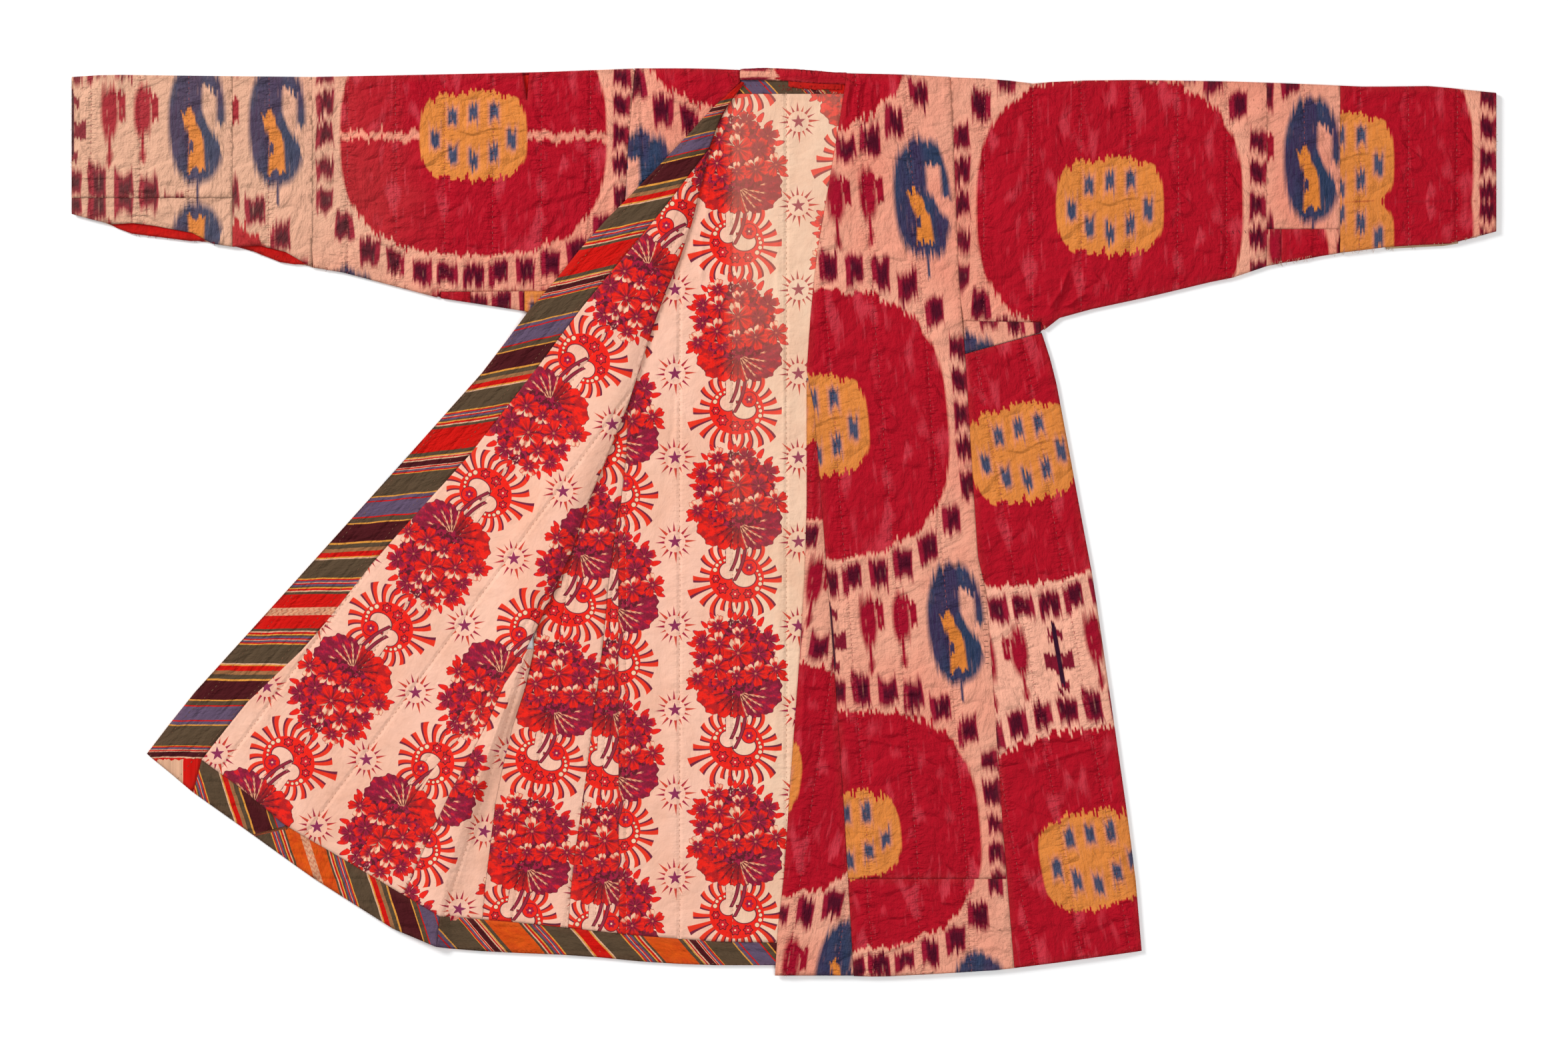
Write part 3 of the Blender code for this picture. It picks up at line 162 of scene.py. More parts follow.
# Creases: two ends (across, down), height in mm (below zero for a hollow), half width in cm.
CREASES = [
    (37.9, 26.4, 34.9, 32.4, 2.2, 0.45), (38.8, 26.9, 35.8, 32.8, -1.6, 0.4),
    (39.9, 27.0, 43.2, 29.0, 1.9, 0.45), (39.6, 27.9, 42.8, 29.9, -1.6, 0.4),
    (36.8, 31.7, 40.2, 29.6, 1.9, 0.4), (31.0, 12.0, 34.5, 22.0, 0.7, 0.5),
    (42.5, 26.5, 47.5, 29.2, 0.9, 0.4), (28.0, 30.0, 33.5, 26.5, 0.7, 0.5),
    (26.5, 33.0, 30.5, 30.0, 0.6, 0.4), (44.0, 26.0, 52.0, 21.0, 0.5, 0.8),
    (-35.6, 18.7, -23.9, 15.3, 0.8, 0.45), (-35.2, 19.4, -24.3, 16.1, -0.6, 0.35),
    (-27.3, 16.2, -22.7, 13.7, 0.8, 0.4), (-31.9, 24.6, -28.5, 20.0, 0.9, 0.45),
    (-33.5, 25.5, -30.5, 22.0, -0.7, 0.4), (-40.0, 26.5, -33.0, 20.5, 0.5, 0.5),
    (-24.2, 17.5, -21.6, 14.0, 0.6, 0.4), (8.6, 1.2, 8.0, 7.0, 1.6, 0.35),
    (9.3, 1.2, 8.7, 6.4, -1.4, 0.3), (10.1, 1.2, 9.4, 7.6, 1.3, 0.35),
    (10.9, 1.2, 10.2, 6.6, -1.0, 0.3), (11.8, 1.2, 11.0, 8.4, 0.9, 0.45),
    (13.0, 1.3, 12.2, 6.0, -0.5, 0.4), (4.6, 46.0, 3.0, 66.0, 0.6, 0.6),
    (3.6, 66.0, 2.0, 92.0, 0.6, 0.6), (20.6, 50.0, 22.6, 60.0, -0.4, 0.8),
    (-13.4, 34.0, -15.8, 56.0, -0.4, 0.6), (-9.9, 14.0, -11.2, 30.0, 0.5, 0.6),
    (-1.0, 20.0, 0.4, 56.0, 0.5, 0.7), (-0.2, 56.0, -1.6, 100.0, 0.4, 0.8),
    (-38.6, 96.0, -39.0, 110.0, -0.8, 1.3), (-33.0, 88.0, -35.5, 108.0, 0.6, 1.4),
    (-46.0, 60.0, -58.0, 78.0, 0.5, 0.9), (-30.0, 54.0, -38.0, 66.0, 0.4, 0.8),
    (-41.0, 86.0, -46.0, 98.0, 0.5, 0.7), (-51.0, 76.0, -60.0, 92.0, -0.4, 0.9),
    (-26.8, 60.0, -28.6, 78.0, 0.4, 0.7), (7.0, 88.3, 17.3, 89.6, 1.4, 0.45),
    (17.3, 93.2, 20.9, 94.2, 1.1, 0.35), (18.7, 94.2, 22.5, 98.9, 1.3, 0.4),
    (2.9, 92.7, 4.2, 89.1, -1.0, 0.4), (23.1, 97.3, 24.6, 100.4, 1.0, 0.35),
    (29.2, 96.5, 36.4, 99.4, 1.1, 0.4), (30.8, 92.7, 43.1, 89.1, 1.3, 0.5),
    (33.4, 101.5, 39.5, 97.3, 1.2, 0.45),
]


# ---------------------------------------------------------------- shells of cloth
def between(low, high, share):
    return low + (high - low) * share


def smooth(share):
    share = np.clip(share, 0.0, 1.0)
    return share * share * (3.0 - 2.0 * share)


def crease_places():
    """Points along the middles of the creases, and how far each crease reaches, in metres."""
    places, reaches = [], []
    for x1, y1, x2, y2, _, width in CREASES:
        steps = int(hypot(x2 - x1, y2 - y1) / 0.4) + 1
        for step in range(steps + 1):
            share = step / steps
            places.append((between(x1, x2, share) * CM,
                           (HALF_LENGTH - between(y1, y2, share)) * CM, 0.0))
            reaches.append(1.7 * width * CM)
    near = KDTree(len(places))
    for index, spot in enumerate(places):
        near.insert(spot, index)
    near.balance()
    return near, reaches


def longest_edge(edge, fine, showing, creases):
    """How long an edge may stay: short on what shows from above, and shorter on creases."""
    above = any(
        f.normal.z > 0.3 and f.calc_center_median().z > showing for f in edge.link_faces
    )
    if not above:
        return PLAIN
    if fine == FINE:
        near, reaches = creases
        start, end = (vert.co for vert in edge.verts)
        middle = (start + end) / 2.0
        _, index, away = near.find((middle.x, middle.y, 0.0))
        if away < reaches[index]:
            return CREASED
    return fine


def refined_copy(name, creases):
    """A merged copy of a packed panel, cut into small even triangles where it shows."""
    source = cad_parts[name].data
    shell = bmesh.new()
    shell.from_mesh(source)
    bmesh.ops.remove_doubles(shell, verts=shell.verts, dist=0.002 * MM)
    bmesh.ops.dissolve_limit(
        shell, angle_limit=radians(0.05), verts=shell.verts, edges=shell.edges
    )
    bmesh.ops.triangulate(shell, faces=shell.faces, ngon_method="BEAUTY")
    fine = PLAIN if name in HIDDEN else CREASED if name in NARROW else FINE
    showing = lowest_showing(name)
    for _ in range(12):
        shell.normal_update()
        long = [
            e for e in shell.edges
            if e.calc_length() > CREASED * MM
            and e.calc_length() > longest_edge(e, fine, showing, creases) * MM
        ]
        if not long:
            break
        bmesh.ops.subdivide_edges(shell, edges=long, cuts=1)
        corners = [f for f in shell.faces if len(f.verts) > 3]
        bmesh.ops.triangulate(shell, faces=corners, ngon_method="BEAUTY")
    mesh = bpy.data.meshes.new(name)
    shell.to_mesh(mesh)
    shell.free()
    return mesh


def read_points(mesh):
    points = np.empty(len(mesh.vertices) * 3)
    mesh.vertices.foreach_get("co", points)
    return points.reshape(-1, 3)

def read_edges(mesh):
    edges = np.empty(len(mesh.edges) * 2, int)
    mesh.edges.foreach_get("vertices", edges)
    return edges.reshape(-1, 2)

def read_corners(mesh):
    corners = np.empty(len(mesh.loops), int)
    mesh.loops.foreach_get("vertex_index", corners)
    return corners

def robe_places(points):
    """Points in metres as centimetres across and down the laid-out robe."""
    return points[:, 0] / CM, HALF_LENGTH - points[:, 1] / CM

def lowest_showing(name):
    """How high a face of a piece's upper side lies at least: a sleeve has two walls."""
    return SLEEVE_TOP if name.startswith("sleeve") and "lining" not in name else -1.0

def rough(u, v, u_size, v_size, layer):
    """Smooth noise over the cloth, in bumps of about these sizes in centimetres."""
    return np.array([noise.noise((x / u_size, y / v_size, layer)) for x, y in zip(u, v)])


def level_folds(mesh, points, upper, times):
    """Rounds the folds: draws the heights of the upper side's points level with each other."""
    edges = read_edges(mesh)
    edges = edges[upper[edges[:, 0]] & upper[edges[:, 1]]]
    count = np.bincount(edges.ravel(), minlength=len(points)).clip(1)
    heights = points[:, 2].copy()
    for _ in range(times):
        total = np.bincount(edges[:, 0], heights[edges[:, 1]], len(points))
        total += np.bincount(edges[:, 1], heights[edges[:, 0]], len(points))
        heights[upper] = between(heights, total / count, 0.6)[upper]
    return heights


def crease_heights(across, down):
    total = np.zeros(len(across))
    for x1, y1, x2, y2, height, width in CREASES:
        run = hypot(x2 - x1, y2 - y1)
        along = ((across - x1) * (x2 - x1) + (down - y1) * (y2 - y1)) / run**2
        wander = 0.25 * width * np.sin(along * 9.0 + x1)
        beside = ((across - x1) * (y2 - y1) - (down - y1) * (x2 - x1)) / run + wander
        ends = smooth(4.0 * along) * smooth(4.0 * (1.0 - along))
        total += 1.5 * height * ends * np.exp(-((beside / (0.6 * width)) ** 2))
    return total


def across_stripes(across, down, slant):
    """Distance in cm at right angles to stripes that slant down to the right."""
    return across * sin(radians(slant)) - down * cos(radians(slant))


def stripe_places(name, across, down):
    """Where the facings lie across the stripes of their cloth, in centimetres."""
    if name == "front_facing":
        lows, middles, rises = (np.array(column) for column in zip(*FACING_LINE))
        rise = np.interp(down, lows, rises)
        beside = across - np.interp(down, lows, middles)
        level = down + rise * beside / (1.0 - 0.85 * rise)
        return beside, np.interp(level, *zip(*FACING_STRIPES))
    if name == "hem_facing_front":
        place = across_stripes(across, down, 72.0)
        joined = down - 100.8 + 0.25 * (across + 67.4) > 0.0
        return down, STRIPE_TURN + np.where(joined, place + 91.6, place + 106.1)
    if name == "hem_facing_back":
        place = across_stripes(across, down, 49.0)
        return down, 3.0 + 0.91 * np.abs(place + 94.9)
    return down, 15.78 - 0.965 * (across_stripes(across, down, 45.0) + 2.92)


def cloth_places(name, across, down):
    """Where points of the robe lie on the woven cloth, in centimetres."""
    cloth, middle, top, tilt, stretch = PIECES[name]
    if "stripe" in cloth:
        return stripe_places(name, across, down)
    turn = radians(tilt)
    u = (across - middle) * cos(turn) - (down - top) * sin(turn)
    v = (across - middle) * sin(turn) + (down - top) * cos(turn)
    if name.startswith("left_front") and name != "left_front_strip":
        return u, np.interp(v + top, *zip(*LEFT_FRONT_EASE))
    v = v / stretch
    if name in DOUBLED:
        v = np.where(v > DOUBLED[name], 2.0 * DOUBLED[name] - v, v)
    return u, v


def soft_relief(name, points, rim):
    """Height in mm that the quilting and the lie of the cloth add to the upper side."""
    across, down = robe_places(points)
    u, v = cloth_places(name, across, down)
    cloth = PIECES[name][0]
    swell, crumple = rough(u, v, 9.0, 15.0, 3.0), rough(u, v, 1.7, 2.9, 9.0)
    relief = 0.7 * swell + 0.28 * crumple + crease_heights(across, down)
    pucker = rough(u, v, 1.3, 0.62, 5.0)
    near_rim = np.exp(-((rim / 0.9) ** 2))
    relief += 0.30 * pucker * near_rim
    if cloth in QUILTED:
        start, spacing = QUILTED[cloth]
        beside = np.abs((u - start + spacing / 2.0) % spacing - spacing / 2.0)
        relief -= 0.34 * np.exp(-((beside / 0.22) ** 2))
        relief += 0.26 * pucker * np.exp(-((beside / 1.1) ** 2))
    if "stripe" in cloth:
        relief += 0.5 * rough(u, v, 0.9, 3.2, 7.0)
    if name in NARROW:
        relief += 0.8 * rough(u, v, 0.6, 0.35, 2.0)
    relief *= smooth(rim / 0.8) * 0.85 + 0.15
    relief -= 0.2 * np.exp(-((rim / 0.28) ** 2))
    # a hollow stays within the shell's own wall
    return np.maximum(relief, -1.25 if cloth.startswith("ikat") else -0.85)


def rim_distances(mesh, points, upper):
    """Distance in cm on the laid-out robe from each point to its own piece's edge."""
    edges = read_edges(mesh)
    crossing = upper[edges[:, 0]] != upper[edges[:, 1]]
    rim = sorted({int(i) for edge in edges[crossing] for i in edge if upper[i]})
    out = np.full(len(points), 9.0)
    if not rim:
        return out
    near = KDTree(len(rim))
    for i in rim:
        near.insert((points[i, 0], points[i, 1], 0.0), i)
    near.balance()
    for i in np.nonzero(upper)[0]:
        out[i] = near.find((points[i, 0], points[i, 1], 0.0))[2] / CM
    return out


def upper_points(name, mesh, points):
    """Which points lie on a shell's own upper side."""
    normals = np.empty(len(mesh.polygons) * 3)
    mesh.polygons.foreach_get("normal", normals)
    normals = normals.reshape(-1, 3)
    faces = read_corners(mesh).reshape(-1, 3)
    heights = points[faces].mean(axis=1)[:, 2]
    above = (normals[:, 2] > 0.5) & (heights > lowest_showing(name))
    upper = np.zeros(len(points), bool)
    upper[faces[above].ravel()] = True
    return upper


def other_layers(name):
    """Every packed panel but one, as one surface."""
    points, faces = [], []
    for other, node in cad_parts.items():
        if other == name:
            continue
        start = len(points)
        points += [vertex.co for vertex in node.data.vertices]
        faces += [[start + i for i in face.vertices] for face in node.data.polygons]
    return BVHTree.FromPolygons(points, faces)


def keep_order(name, packed, laid, upper):
    """Keeps a covered point from rising into what lies on it, and a bare point from sinking
    into what lies under it. packed and laid are the points before and after."""
    others = other_layers(name)
    up, down = Vector((0.0, 0.0, 1.0)), Vector((0.0, 0.0, -1.0))
    for i in np.nonzero(upper)[0]:
        start = Vector(packed[i])
        above = others.ray_cast(start + up * 0.02 * MM, up, DEEPEST)[0]
        if above:
            laid[i, 2] = min(laid[i, 2], packed[i, 2] + 0.1 * MM, above.z - 0.1 * MM)
            continue
        below = others.ray_cast(start - up * 0.02 * MM, down, DEEPEST)[0]
        floor = below.z + 0.5 * MM if below else 0.4 * MM
        laid[i, 2] = max(laid[i, 2], min(floor, packed[i, 2]))


def close_seams(mesh, points, reach):
    """Moves a shell's walls outwards until panels that are sewn together touch."""
    outward = np.zeros((len(points), 2))
    for face in mesh.polygons:
        if abs(face.normal.z) < 0.3:
            for i in face.vertices:
                outward[i] += (face.normal.x * face.area, face.normal.y * face.area)
    size = np.hypot(outward[:, 0], outward[:, 1])
    moved = size > 0.0
    points[moved, :2] += outward[moved] / size[moved, None] * reach


def lay_cloth_map(mesh, name, points):
    """The UV map "cloth": the place on the woven cloth in centimetres. Below a sleeve's or
    the back's fold the cloth runs on round it, so its pattern comes back mirrored."""
    across, down = robe_places(points)
    if name.startswith(("sleeve", "back")):
        down = np.where(points[:, 2] < UNDER_WALL, 2.0 * SHOULDER_FOLD - down, down)
    places = np.stack(cloth_places(name, across, down), axis=1)
    layer = mesh.uv_layers.new(name="cloth")
    layer.data.foreach_set("uv", places[read_corners(mesh)].ravel())


def put(name, data):
    """A new object in the scene, at the origin."""
    placed = bpy.data.objects.new(name, data)
    bpy.context.scene.collection.objects.link(placed)
    return placed

def finish_piece(name, mesh, finish):
    for face in mesh.polygons:
        face.use_smooth = True
    mesh.set_sharp_from_angle(angle=radians(60.0))
    mesh.materials.append(finish)
    return put(f"{name}_cloth", mesh)


def make_cloth(name, finishes, creases):
    mesh = refined_copy(name, creases)
    points = read_points(mesh)
    lay_cloth_map(mesh, name, points)
    upper = upper_points(name, mesh, points)
    rim = rim_distances(mesh, points, upper)
    inner = upper & (rim > 0.01)
    packed = points.copy()
    if name in ROUNDED:
        points[:, 2] = level_folds(mesh, points, inner, ROUNDED[name])
    if name not in HIDDEN:
        points[upper, 2] += soft_relief(name, points[upper], rim[upper]) * MM
    keep_order(name, packed, points, upper)
    close_seams(mesh, points, (1.2 if name == "neck_binding" else 0.22) * MM)
    if name == "neck_binding":
        middle = (points[:, 0].min() + points[:, 0].max()) / 2.0
        points[:, 0] += (points[:, 0] - middle) * 0.047 - 0.4 * MM
    if name in NARROW:
        ragged = np.array([noise.noise((x / (4.0 * MM), 1.0, 1.0)) for x in points[:, 0]])
        points[:, 1] += (2.2 if name == "neck_torn_ribbon" else 0.7) * MM * ragged
    mesh.vertices.foreach_set("co", points.ravel())
    mesh.update()
    layer = mesh.attributes.new("rim", "FLOAT", "POINT")
    layer.data.foreach_set("value", rim)
    return finish_piece(name, mesh, finishes[PIECES[name][0]])


# ---------------------------------------------------------------- drawing with nodes
def by_node(operation):
    """A method that is worked out by a math node."""
    return lambda self, *others: self.reckon(operation, self, *others)

class Reading:
    """A number that changes over the cloth: a node's output, with ordinary arithmetic."""

    __add__ = __radd__ = by_node("ADD")
    __mul__ = __rmul__ = by_node("MULTIPLY")
    __sub__, __truediv__, __pow__ = by_node("SUBTRACT"), by_node("DIVIDE"), by_node("POWER")
    __abs__, __gt__ = by_node("ABSOLUTE"), by_node("GREATER_THAN")
    floor, round, root = by_node("FLOOR"), by_node("ROUND"), by_node("SQRT")
    sine, cosine = by_node("SINE"), by_node("COSINE")
    smaller, larger = by_node("MINIMUM"), by_node("MAXIMUM")
    angle = by_node("ARCTAN2")      # y.angle(x) is the angle of the point (x, y)

    def __init__(self, tree, socket):
        self.tree = tree
        self.socket = socket

    def reckon(self, operation, *values):
        node = self.tree.nodes.new("ShaderNodeMath")
        node.operation = operation
        for socket, value in zip(node.inputs, values):
            feed(self.tree, value, socket)
        return Reading(self.tree, node.outputs[0])

    def __rsub__(self, other):
        return self.reckon("SUBTRACT", other, self)

    def __rtruediv__(self, other):
        return self.reckon("DIVIDE", other, self)

    def wrapped(self, reach):
        """The same number brought between -reach and reach by whole repeats."""
        return self.reckon("WRAP", self, reach, -reach)

    def soft(self, width):
        """From 0 below -width / 2 to 1 above width / 2."""
        found = self.reckon("MULTIPLY_ADD", self, 1.0 / width, 0.5)
        found.socket.node.use_clamp = True
        return found


def feed(tree, value, socket):
    if isinstance(value, Reading):
        tree.links.new(value.socket, socket)
    elif isinstance(value, bpy.types.NodeSocket):
        tree.links.new(value, socket)
    elif value is not None:
        socket.default_value = value


def fill(tree, node, **values):
    """Sets or links a node's inputs by their labels, with _ for a blank."""
    for label, value in values.items():
        feed(tree, value, node.inputs[label.replace("_", " ")])
    return node

def add_node(tree, kind, **values):
    return fill(tree, tree.nodes.new(kind), **values)

def tint(red, green, blue):
    """A colour as it is seen, 0 to 255, as the shader wants it."""
    def one(value):
        value /= 255.0
        value = value / 12.92 if value <= 0.04045 else ((value + 0.055) / 1.055) ** 2.4
        return value / ROOM_LIGHT
    return (one(red), one(green), one(blue), 1.0)


def shaded(tree, share, under, over, blend="MIX"):
    """Colour over laid on colour under by a share from 0 to 1."""
    node = tree.nodes.new("ShaderNodeMix")
    node.data_type = "RGBA"
    node.blend_type = blend
    feed(tree, share, node.inputs[0])
    feed(tree, under, node.inputs[6])
    feed(tree, over, node.inputs[7])
    return node.outputs[2]


class Paint:
    """A colour that is laid on in coats, each over what is already there."""

    def __init__(self, tree, color):
        self.tree = tree
        self.color = color

    def coat(self, share, color, blend="MIX"):
        self.color = shaded(self.tree, share, self.color, color, blend)

def place(tree, x, y, z=0.0):
    node = tree.nodes.new("ShaderNodeCombineXYZ")
    for socket, value in zip(node.inputs, (x, y, z)):
        feed(tree, value, socket)
    return node.outputs[0]


def cloudy(tree, where, scale, detail=2.0, roughness=0.5):
    node = add_node(tree, "ShaderNodeTexNoise", Scale=scale, Detail=detail,
                    Roughness=roughness, Vector=where)
    return Reading(tree, node.outputs["Factor" if "Factor" in node.outputs else 0])

def clouds(x, y, detail=2.0, roughness=0.5, z=0.0, scale=1.0):
    """The same noise over the point (x, y, z)."""
    return cloudy(x.tree, place(x.tree, x, y, z), scale, detail, roughness)

def from_spot(x, y, across=0.0, down=0.0):
    """How far the point (x, y) lies from a spot, and the angle at which it lies."""
    dx, dy = x - across, y - down
    return (dx * dx + dy * dy).root(), dy.angle(dx)


def new_group(name, inputs, outputs, kind="ShaderNodeTree"):
    """A node group, its inputs by name, and its output node."""
    tree = bpy.data.node_groups.new(name, kind)
    for side, sockets in (("INPUT", inputs), ("OUTPUT", outputs)):
        for label, holds in sockets.items():
            tree.interface.new_socket(
                name=label, in_out=side, socket_type=f"NodeSocket{holds}"
            )
    given = tree.nodes.new("NodeGroupInput")
    result = tree.nodes.new("NodeGroupOutput")
    return tree, {label: given.outputs[label] for label in inputs}, result


def cloth_axes(tree, where):
    node = tree.nodes.new("ShaderNodeSeparateXYZ")
    feed(tree, where, node.inputs[0])
    return Reading(tree, node.outputs[0]), Reading(tree, node.outputs[1])


# ---------------------------------------------------------------- the three cloths
CRIMSON = tint(175, 14, 34)
PINK = tint(233, 146, 122)
SAFFRON = tint(221, 129, 54)

# Indigo marks in the saffron heart of the disc: across, down.
HEART_MARKS = [(0.0, -3.3), (0.0, 3.4), (2.75, -3.2), (2.7, 2.7), (5.05, 0.3)]
# Hooks between two discs: across from the middle of the loom width.
HOOKS = [5.0, 9.35]
BOTEH = 16.5


def oval(x, y, x_reach, y_reach, power=2.0):
    """Above zero inside a rounded shape, in about the same centimetres as its size."""
    inside = 1.0 - (abs(x) / x_reach) ** power - (abs(y) / y_reach) ** power
    return inside * (min(x_reach, y_reach) / power)


def block(x, y, x_reach, y_reach):
    """Above zero inside a rectangle whose sides are crisper than its ends."""
    return ((x_reach - abs(x)) * 2.5).smaller(y_reach - abs(y))


def dot(x, y, x_reach, y_reach):
    """A mark with crisp sides whose ends fade along the warp."""
    return ((x_reach - abs(x)) * 5.5).smaller(y_reach - abs(y))


def hook(x, y):
    """A leaf on a stem with a barb that hangs from its shoulder, pointing outwards."""
    body = oval(x, y + 0.7, 1.15, 3.5, 2.3)
    arm = block(x - 0.85, y + 2.6, 1.0, 0.7).larger(block(x - 1.65, y + 1.3, 0.45, 1.7))
    stem = block(x, y - 4.2, 0.2, 2.2).larger(oval(x, y - 5.4, 0.45, 0.9))
    return body.larger(arm).larger(stem)


def boteh(x, y):
    """A bent drop with a curl at its top that hangs outwards: the drop and its core."""
    bulk = oval(x, y, 3.75, 8.0, 2.3)
    inner = (y + 1.0).larger(0.0) * 0.55 + 0.75
    bay = (x - inner).smaller(y + 4.4 - x * 0.35).smaller((2.6 - x).larger(y - 0.4))
    bay = bay.smaller(y * -0.8 + 3.2 + (x - 2.0) * 0.4)
    drop = bulk.smaller(bay * -1.0)
    stem = block(x - 0.1, y - 8.6, 0.17, 2.0)
    lean = (y * 0.36 - 0.9).smaller(-0.05)
    core = (y * 0.07 + 0.72 - abs(x - lean)).smaller(y + 1.5).smaller(6.2 - y)
    nick = block(x + 0.75, y - 3.4, 0.3, 0.8)
    return drop.larger(stem), core.smaller(nick * -1.0)


def ikat_group():
    """Warp ikat: discs with a saffron heart, dots, hooks and botehs on a pink ground. The
    bundles of warp threads were dyed out of step, so shapes feather along the warp."""
    tree, given, result = new_group(
        "ikat_design",
        {"Cloth": "Vector", "Ground": "Color", "Pale fold": "Float", "Dark fold": "Float"},
        {"Color": "Color"},
    )
    u, v = cloth_axes(tree, given["Cloth"])
    bundle = (u * 4.6).floor() / 4.6
    drift = clouds(bundle * 0.6, v * 0.07, 3.0, 0.6)
    fray = clouds(bundle * 17.7, v * 0.11 + 40.0, 1.0)
    straight = v
    v = v + (drift - 0.5) * 3.4 + (fray - 0.5) * 3.4
    side = abs(u)
    signed = v.wrapped(WARP_REPEAT / 2.0)
    from_disc = abs(signed)
    band = (v - WARP_REPEAT / 2.0).wrapped(WARP_REPEAT / 2.0)
    # some bundles took the dye badly
    dye = clouds(bundle * 5.3, straight * 0.22, 2.0, 0.6)
    weak = (dye * 3.4 - 0.35).smaller(1.0).larger(0.25)
    streak = clouds(u * 9.0, straight * 0.35, 2.0, 0.7)

    paint = Paint(tree, given["Ground"])
    # a ring of dots round the disc, and a column of them along each selvage
    column = (side / 3.4).round().smaller(5.0) * 3.4
    ring = (1.0 - (column / 20.0) ** 2.6).larger(0.0) ** 0.385 * 20.9
    row = (from_disc / 4.63).round().smaller(2.0) * 4.63
    wide = (clouds(u * 0.16, straight * 0.11 + 7.0, 1.0) - 0.5) * 1.3
    long = (clouds(u * 0.2, straight * 0.13 + 21.0, 1.0) - 0.5) * 2.2
    dots = dot(side - column, from_disc - ring, 1.27 + wide, 1.95 + long)
    dots = dots.larger(dot(side - 19.6, from_disc - row, 1.12 + wide, 1.65 + long))
    core = dot(side - column - 0.22, from_disc - ring, 0.80 + wide, 1.3 + long)
    core = core.larger(dot(side - 19.4, from_disc - row, 0.70 + wide, 1.1 + long))
    dot_color = shaded(tree, core.soft(1.6) * (streak * 0.7 + 0.55), tint(152, 22, 48),
                       tint(64, 8, 30))
    paint.coat(dots.soft(1.05) * (weak * 0.6 + 0.4), dot_color)
    for across in HOOKS:
        hooked = hook(side - across, band + 0.9).soft(0.5) * weak
        paint.coat(hooked, tint(158, 12, 40))
    cross = block(side, band, 0.32, 4.2).larger(block(side, band - 0.6, 1.9, 1.2))
    cross = cross.larger(block(side, band + 3.2, 1.0, 0.6)).larger(
        block(side, band - 4.2, 0.8, 0.6))
    paint.coat(cross.soft(0.4) * weak, tint(130, 22, 44))
    paint.coat(block(side, band, 0.28, 4.0).soft(0.3), tint(52, 18, 40))
    drop, core = boteh(side - BOTEH, band + 0.5)
    plum = clouds(bundle * 0.35, straight * 0.09 + 3.0, 1.0)
    blue = shaded(tree, (plum - 0.5).soft(0.2), tint(36, 54, 84), tint(56, 38, 74))
    blue = shaded(tree, (streak - 0.52).soft(0.36) * 0.5, blue, tint(80, 84, 108))
    paint.coat(drop.soft(0.6) * (weak * 0.4 + 0.6), blue)
    paint.coat(core.soft(0.35), SAFFRON)
    # the disc
    disc = 1.0 - (side / 17.6) ** 2.7 - (from_disc / 18.0) ** 2.7
    ghost = clouds(u * 0.40, v * 0.16 + 2.0, 1.0, 0.4)
    thin = clouds(bundle * 1.6, straight * 0.20 + 9.0, 1.0)
    flecks = (ghost - 0.62).soft(0.10) * (streak * 1.1 - 0.05).larger(0.0)
    flecks = flecks.larger((thin - 0.68).soft(0.12) * 0.36)
    field = shaded(tree, flecks, CRIMSON, tint(216, 70, 84))
    line = (0.62 - from_disc).soft(0.5) * Reading(tree, given["Pale fold"])
    field = shaded(tree, line, field, PINK)
    paint.coat((disc * 7.0).soft(0.4), field)
    heart = (1.0 - (side / 7.1) ** 3.2 - (from_disc / 6.6) ** 3.2) * 3.0
    saffron = shaded(tree, (streak - 0.55).soft(0.5) * 0.6, SAFFRON, tint(226, 146, 84))
    paint.coat(heart.soft(0.35), saffron)
    halo = mark = None
    for across, down in HEART_MARKS:
        one = block(side - across, signed - down, 0.85, 1.7)
        spot = block(side - across, signed - down, 0.58, 1.15)
        halo = one if halo is None else halo.larger(one)
        mark = spot if mark is None else mark.larger(spot)
    paint.coat(halo.soft(1.0) * 0.62, tint(222, 138, 116))
    mark_color = shaded(tree, (streak - 0.5).soft(0.4), tint(46, 56, 90), tint(92, 92, 110))
    paint.coat(mark.soft(0.8) * weak.larger(0.6), mark_color)
    line = (0.10 - abs(straight - 5.6 + (fray - 0.5) * 0.3)).soft(0.3)
    line = line * (streak + 0.2) * Reading(tree, given["Dark fold"])
    paint.coat(line, tint(140, 24, 36))
    # threads differ a little from each other
    thread = clouds(u * 5.0, straight * 0.12, 5.0, 0.75)
    weft = clouds(u * 0.3, straight * 7.0, 3.0, 0.75)
    soil = clouds(u * 0.16, straight * 0.12, 5.0, 0.62)
    streaks = thread * 0.44 + weft * 0.26 + soil * 0.34 + 0.48
    paint.coat(1.0, grey(tree, streaks), "MULTIPLY")
    feed(tree, paint.color, result.inputs["Color"])
    return tree


def grey(tree, share):
    node = tree.nodes.new("ShaderNodeCombineColor")
    for socket in node.inputs:
        feed(tree, share, socket)
    return node.outputs[0]


PRINT_RED = tint(240, 24, 12)
PRINT_ORANGE = tint(236, 48, 24)
PRINT_PURPLE = tint(160, 12, 60)
PRINT_DARK = tint(92, 8, 32)
PRINT_CREAM = tint(250, 206, 170)
PRINT_LINE = tint(104, 20, 50)

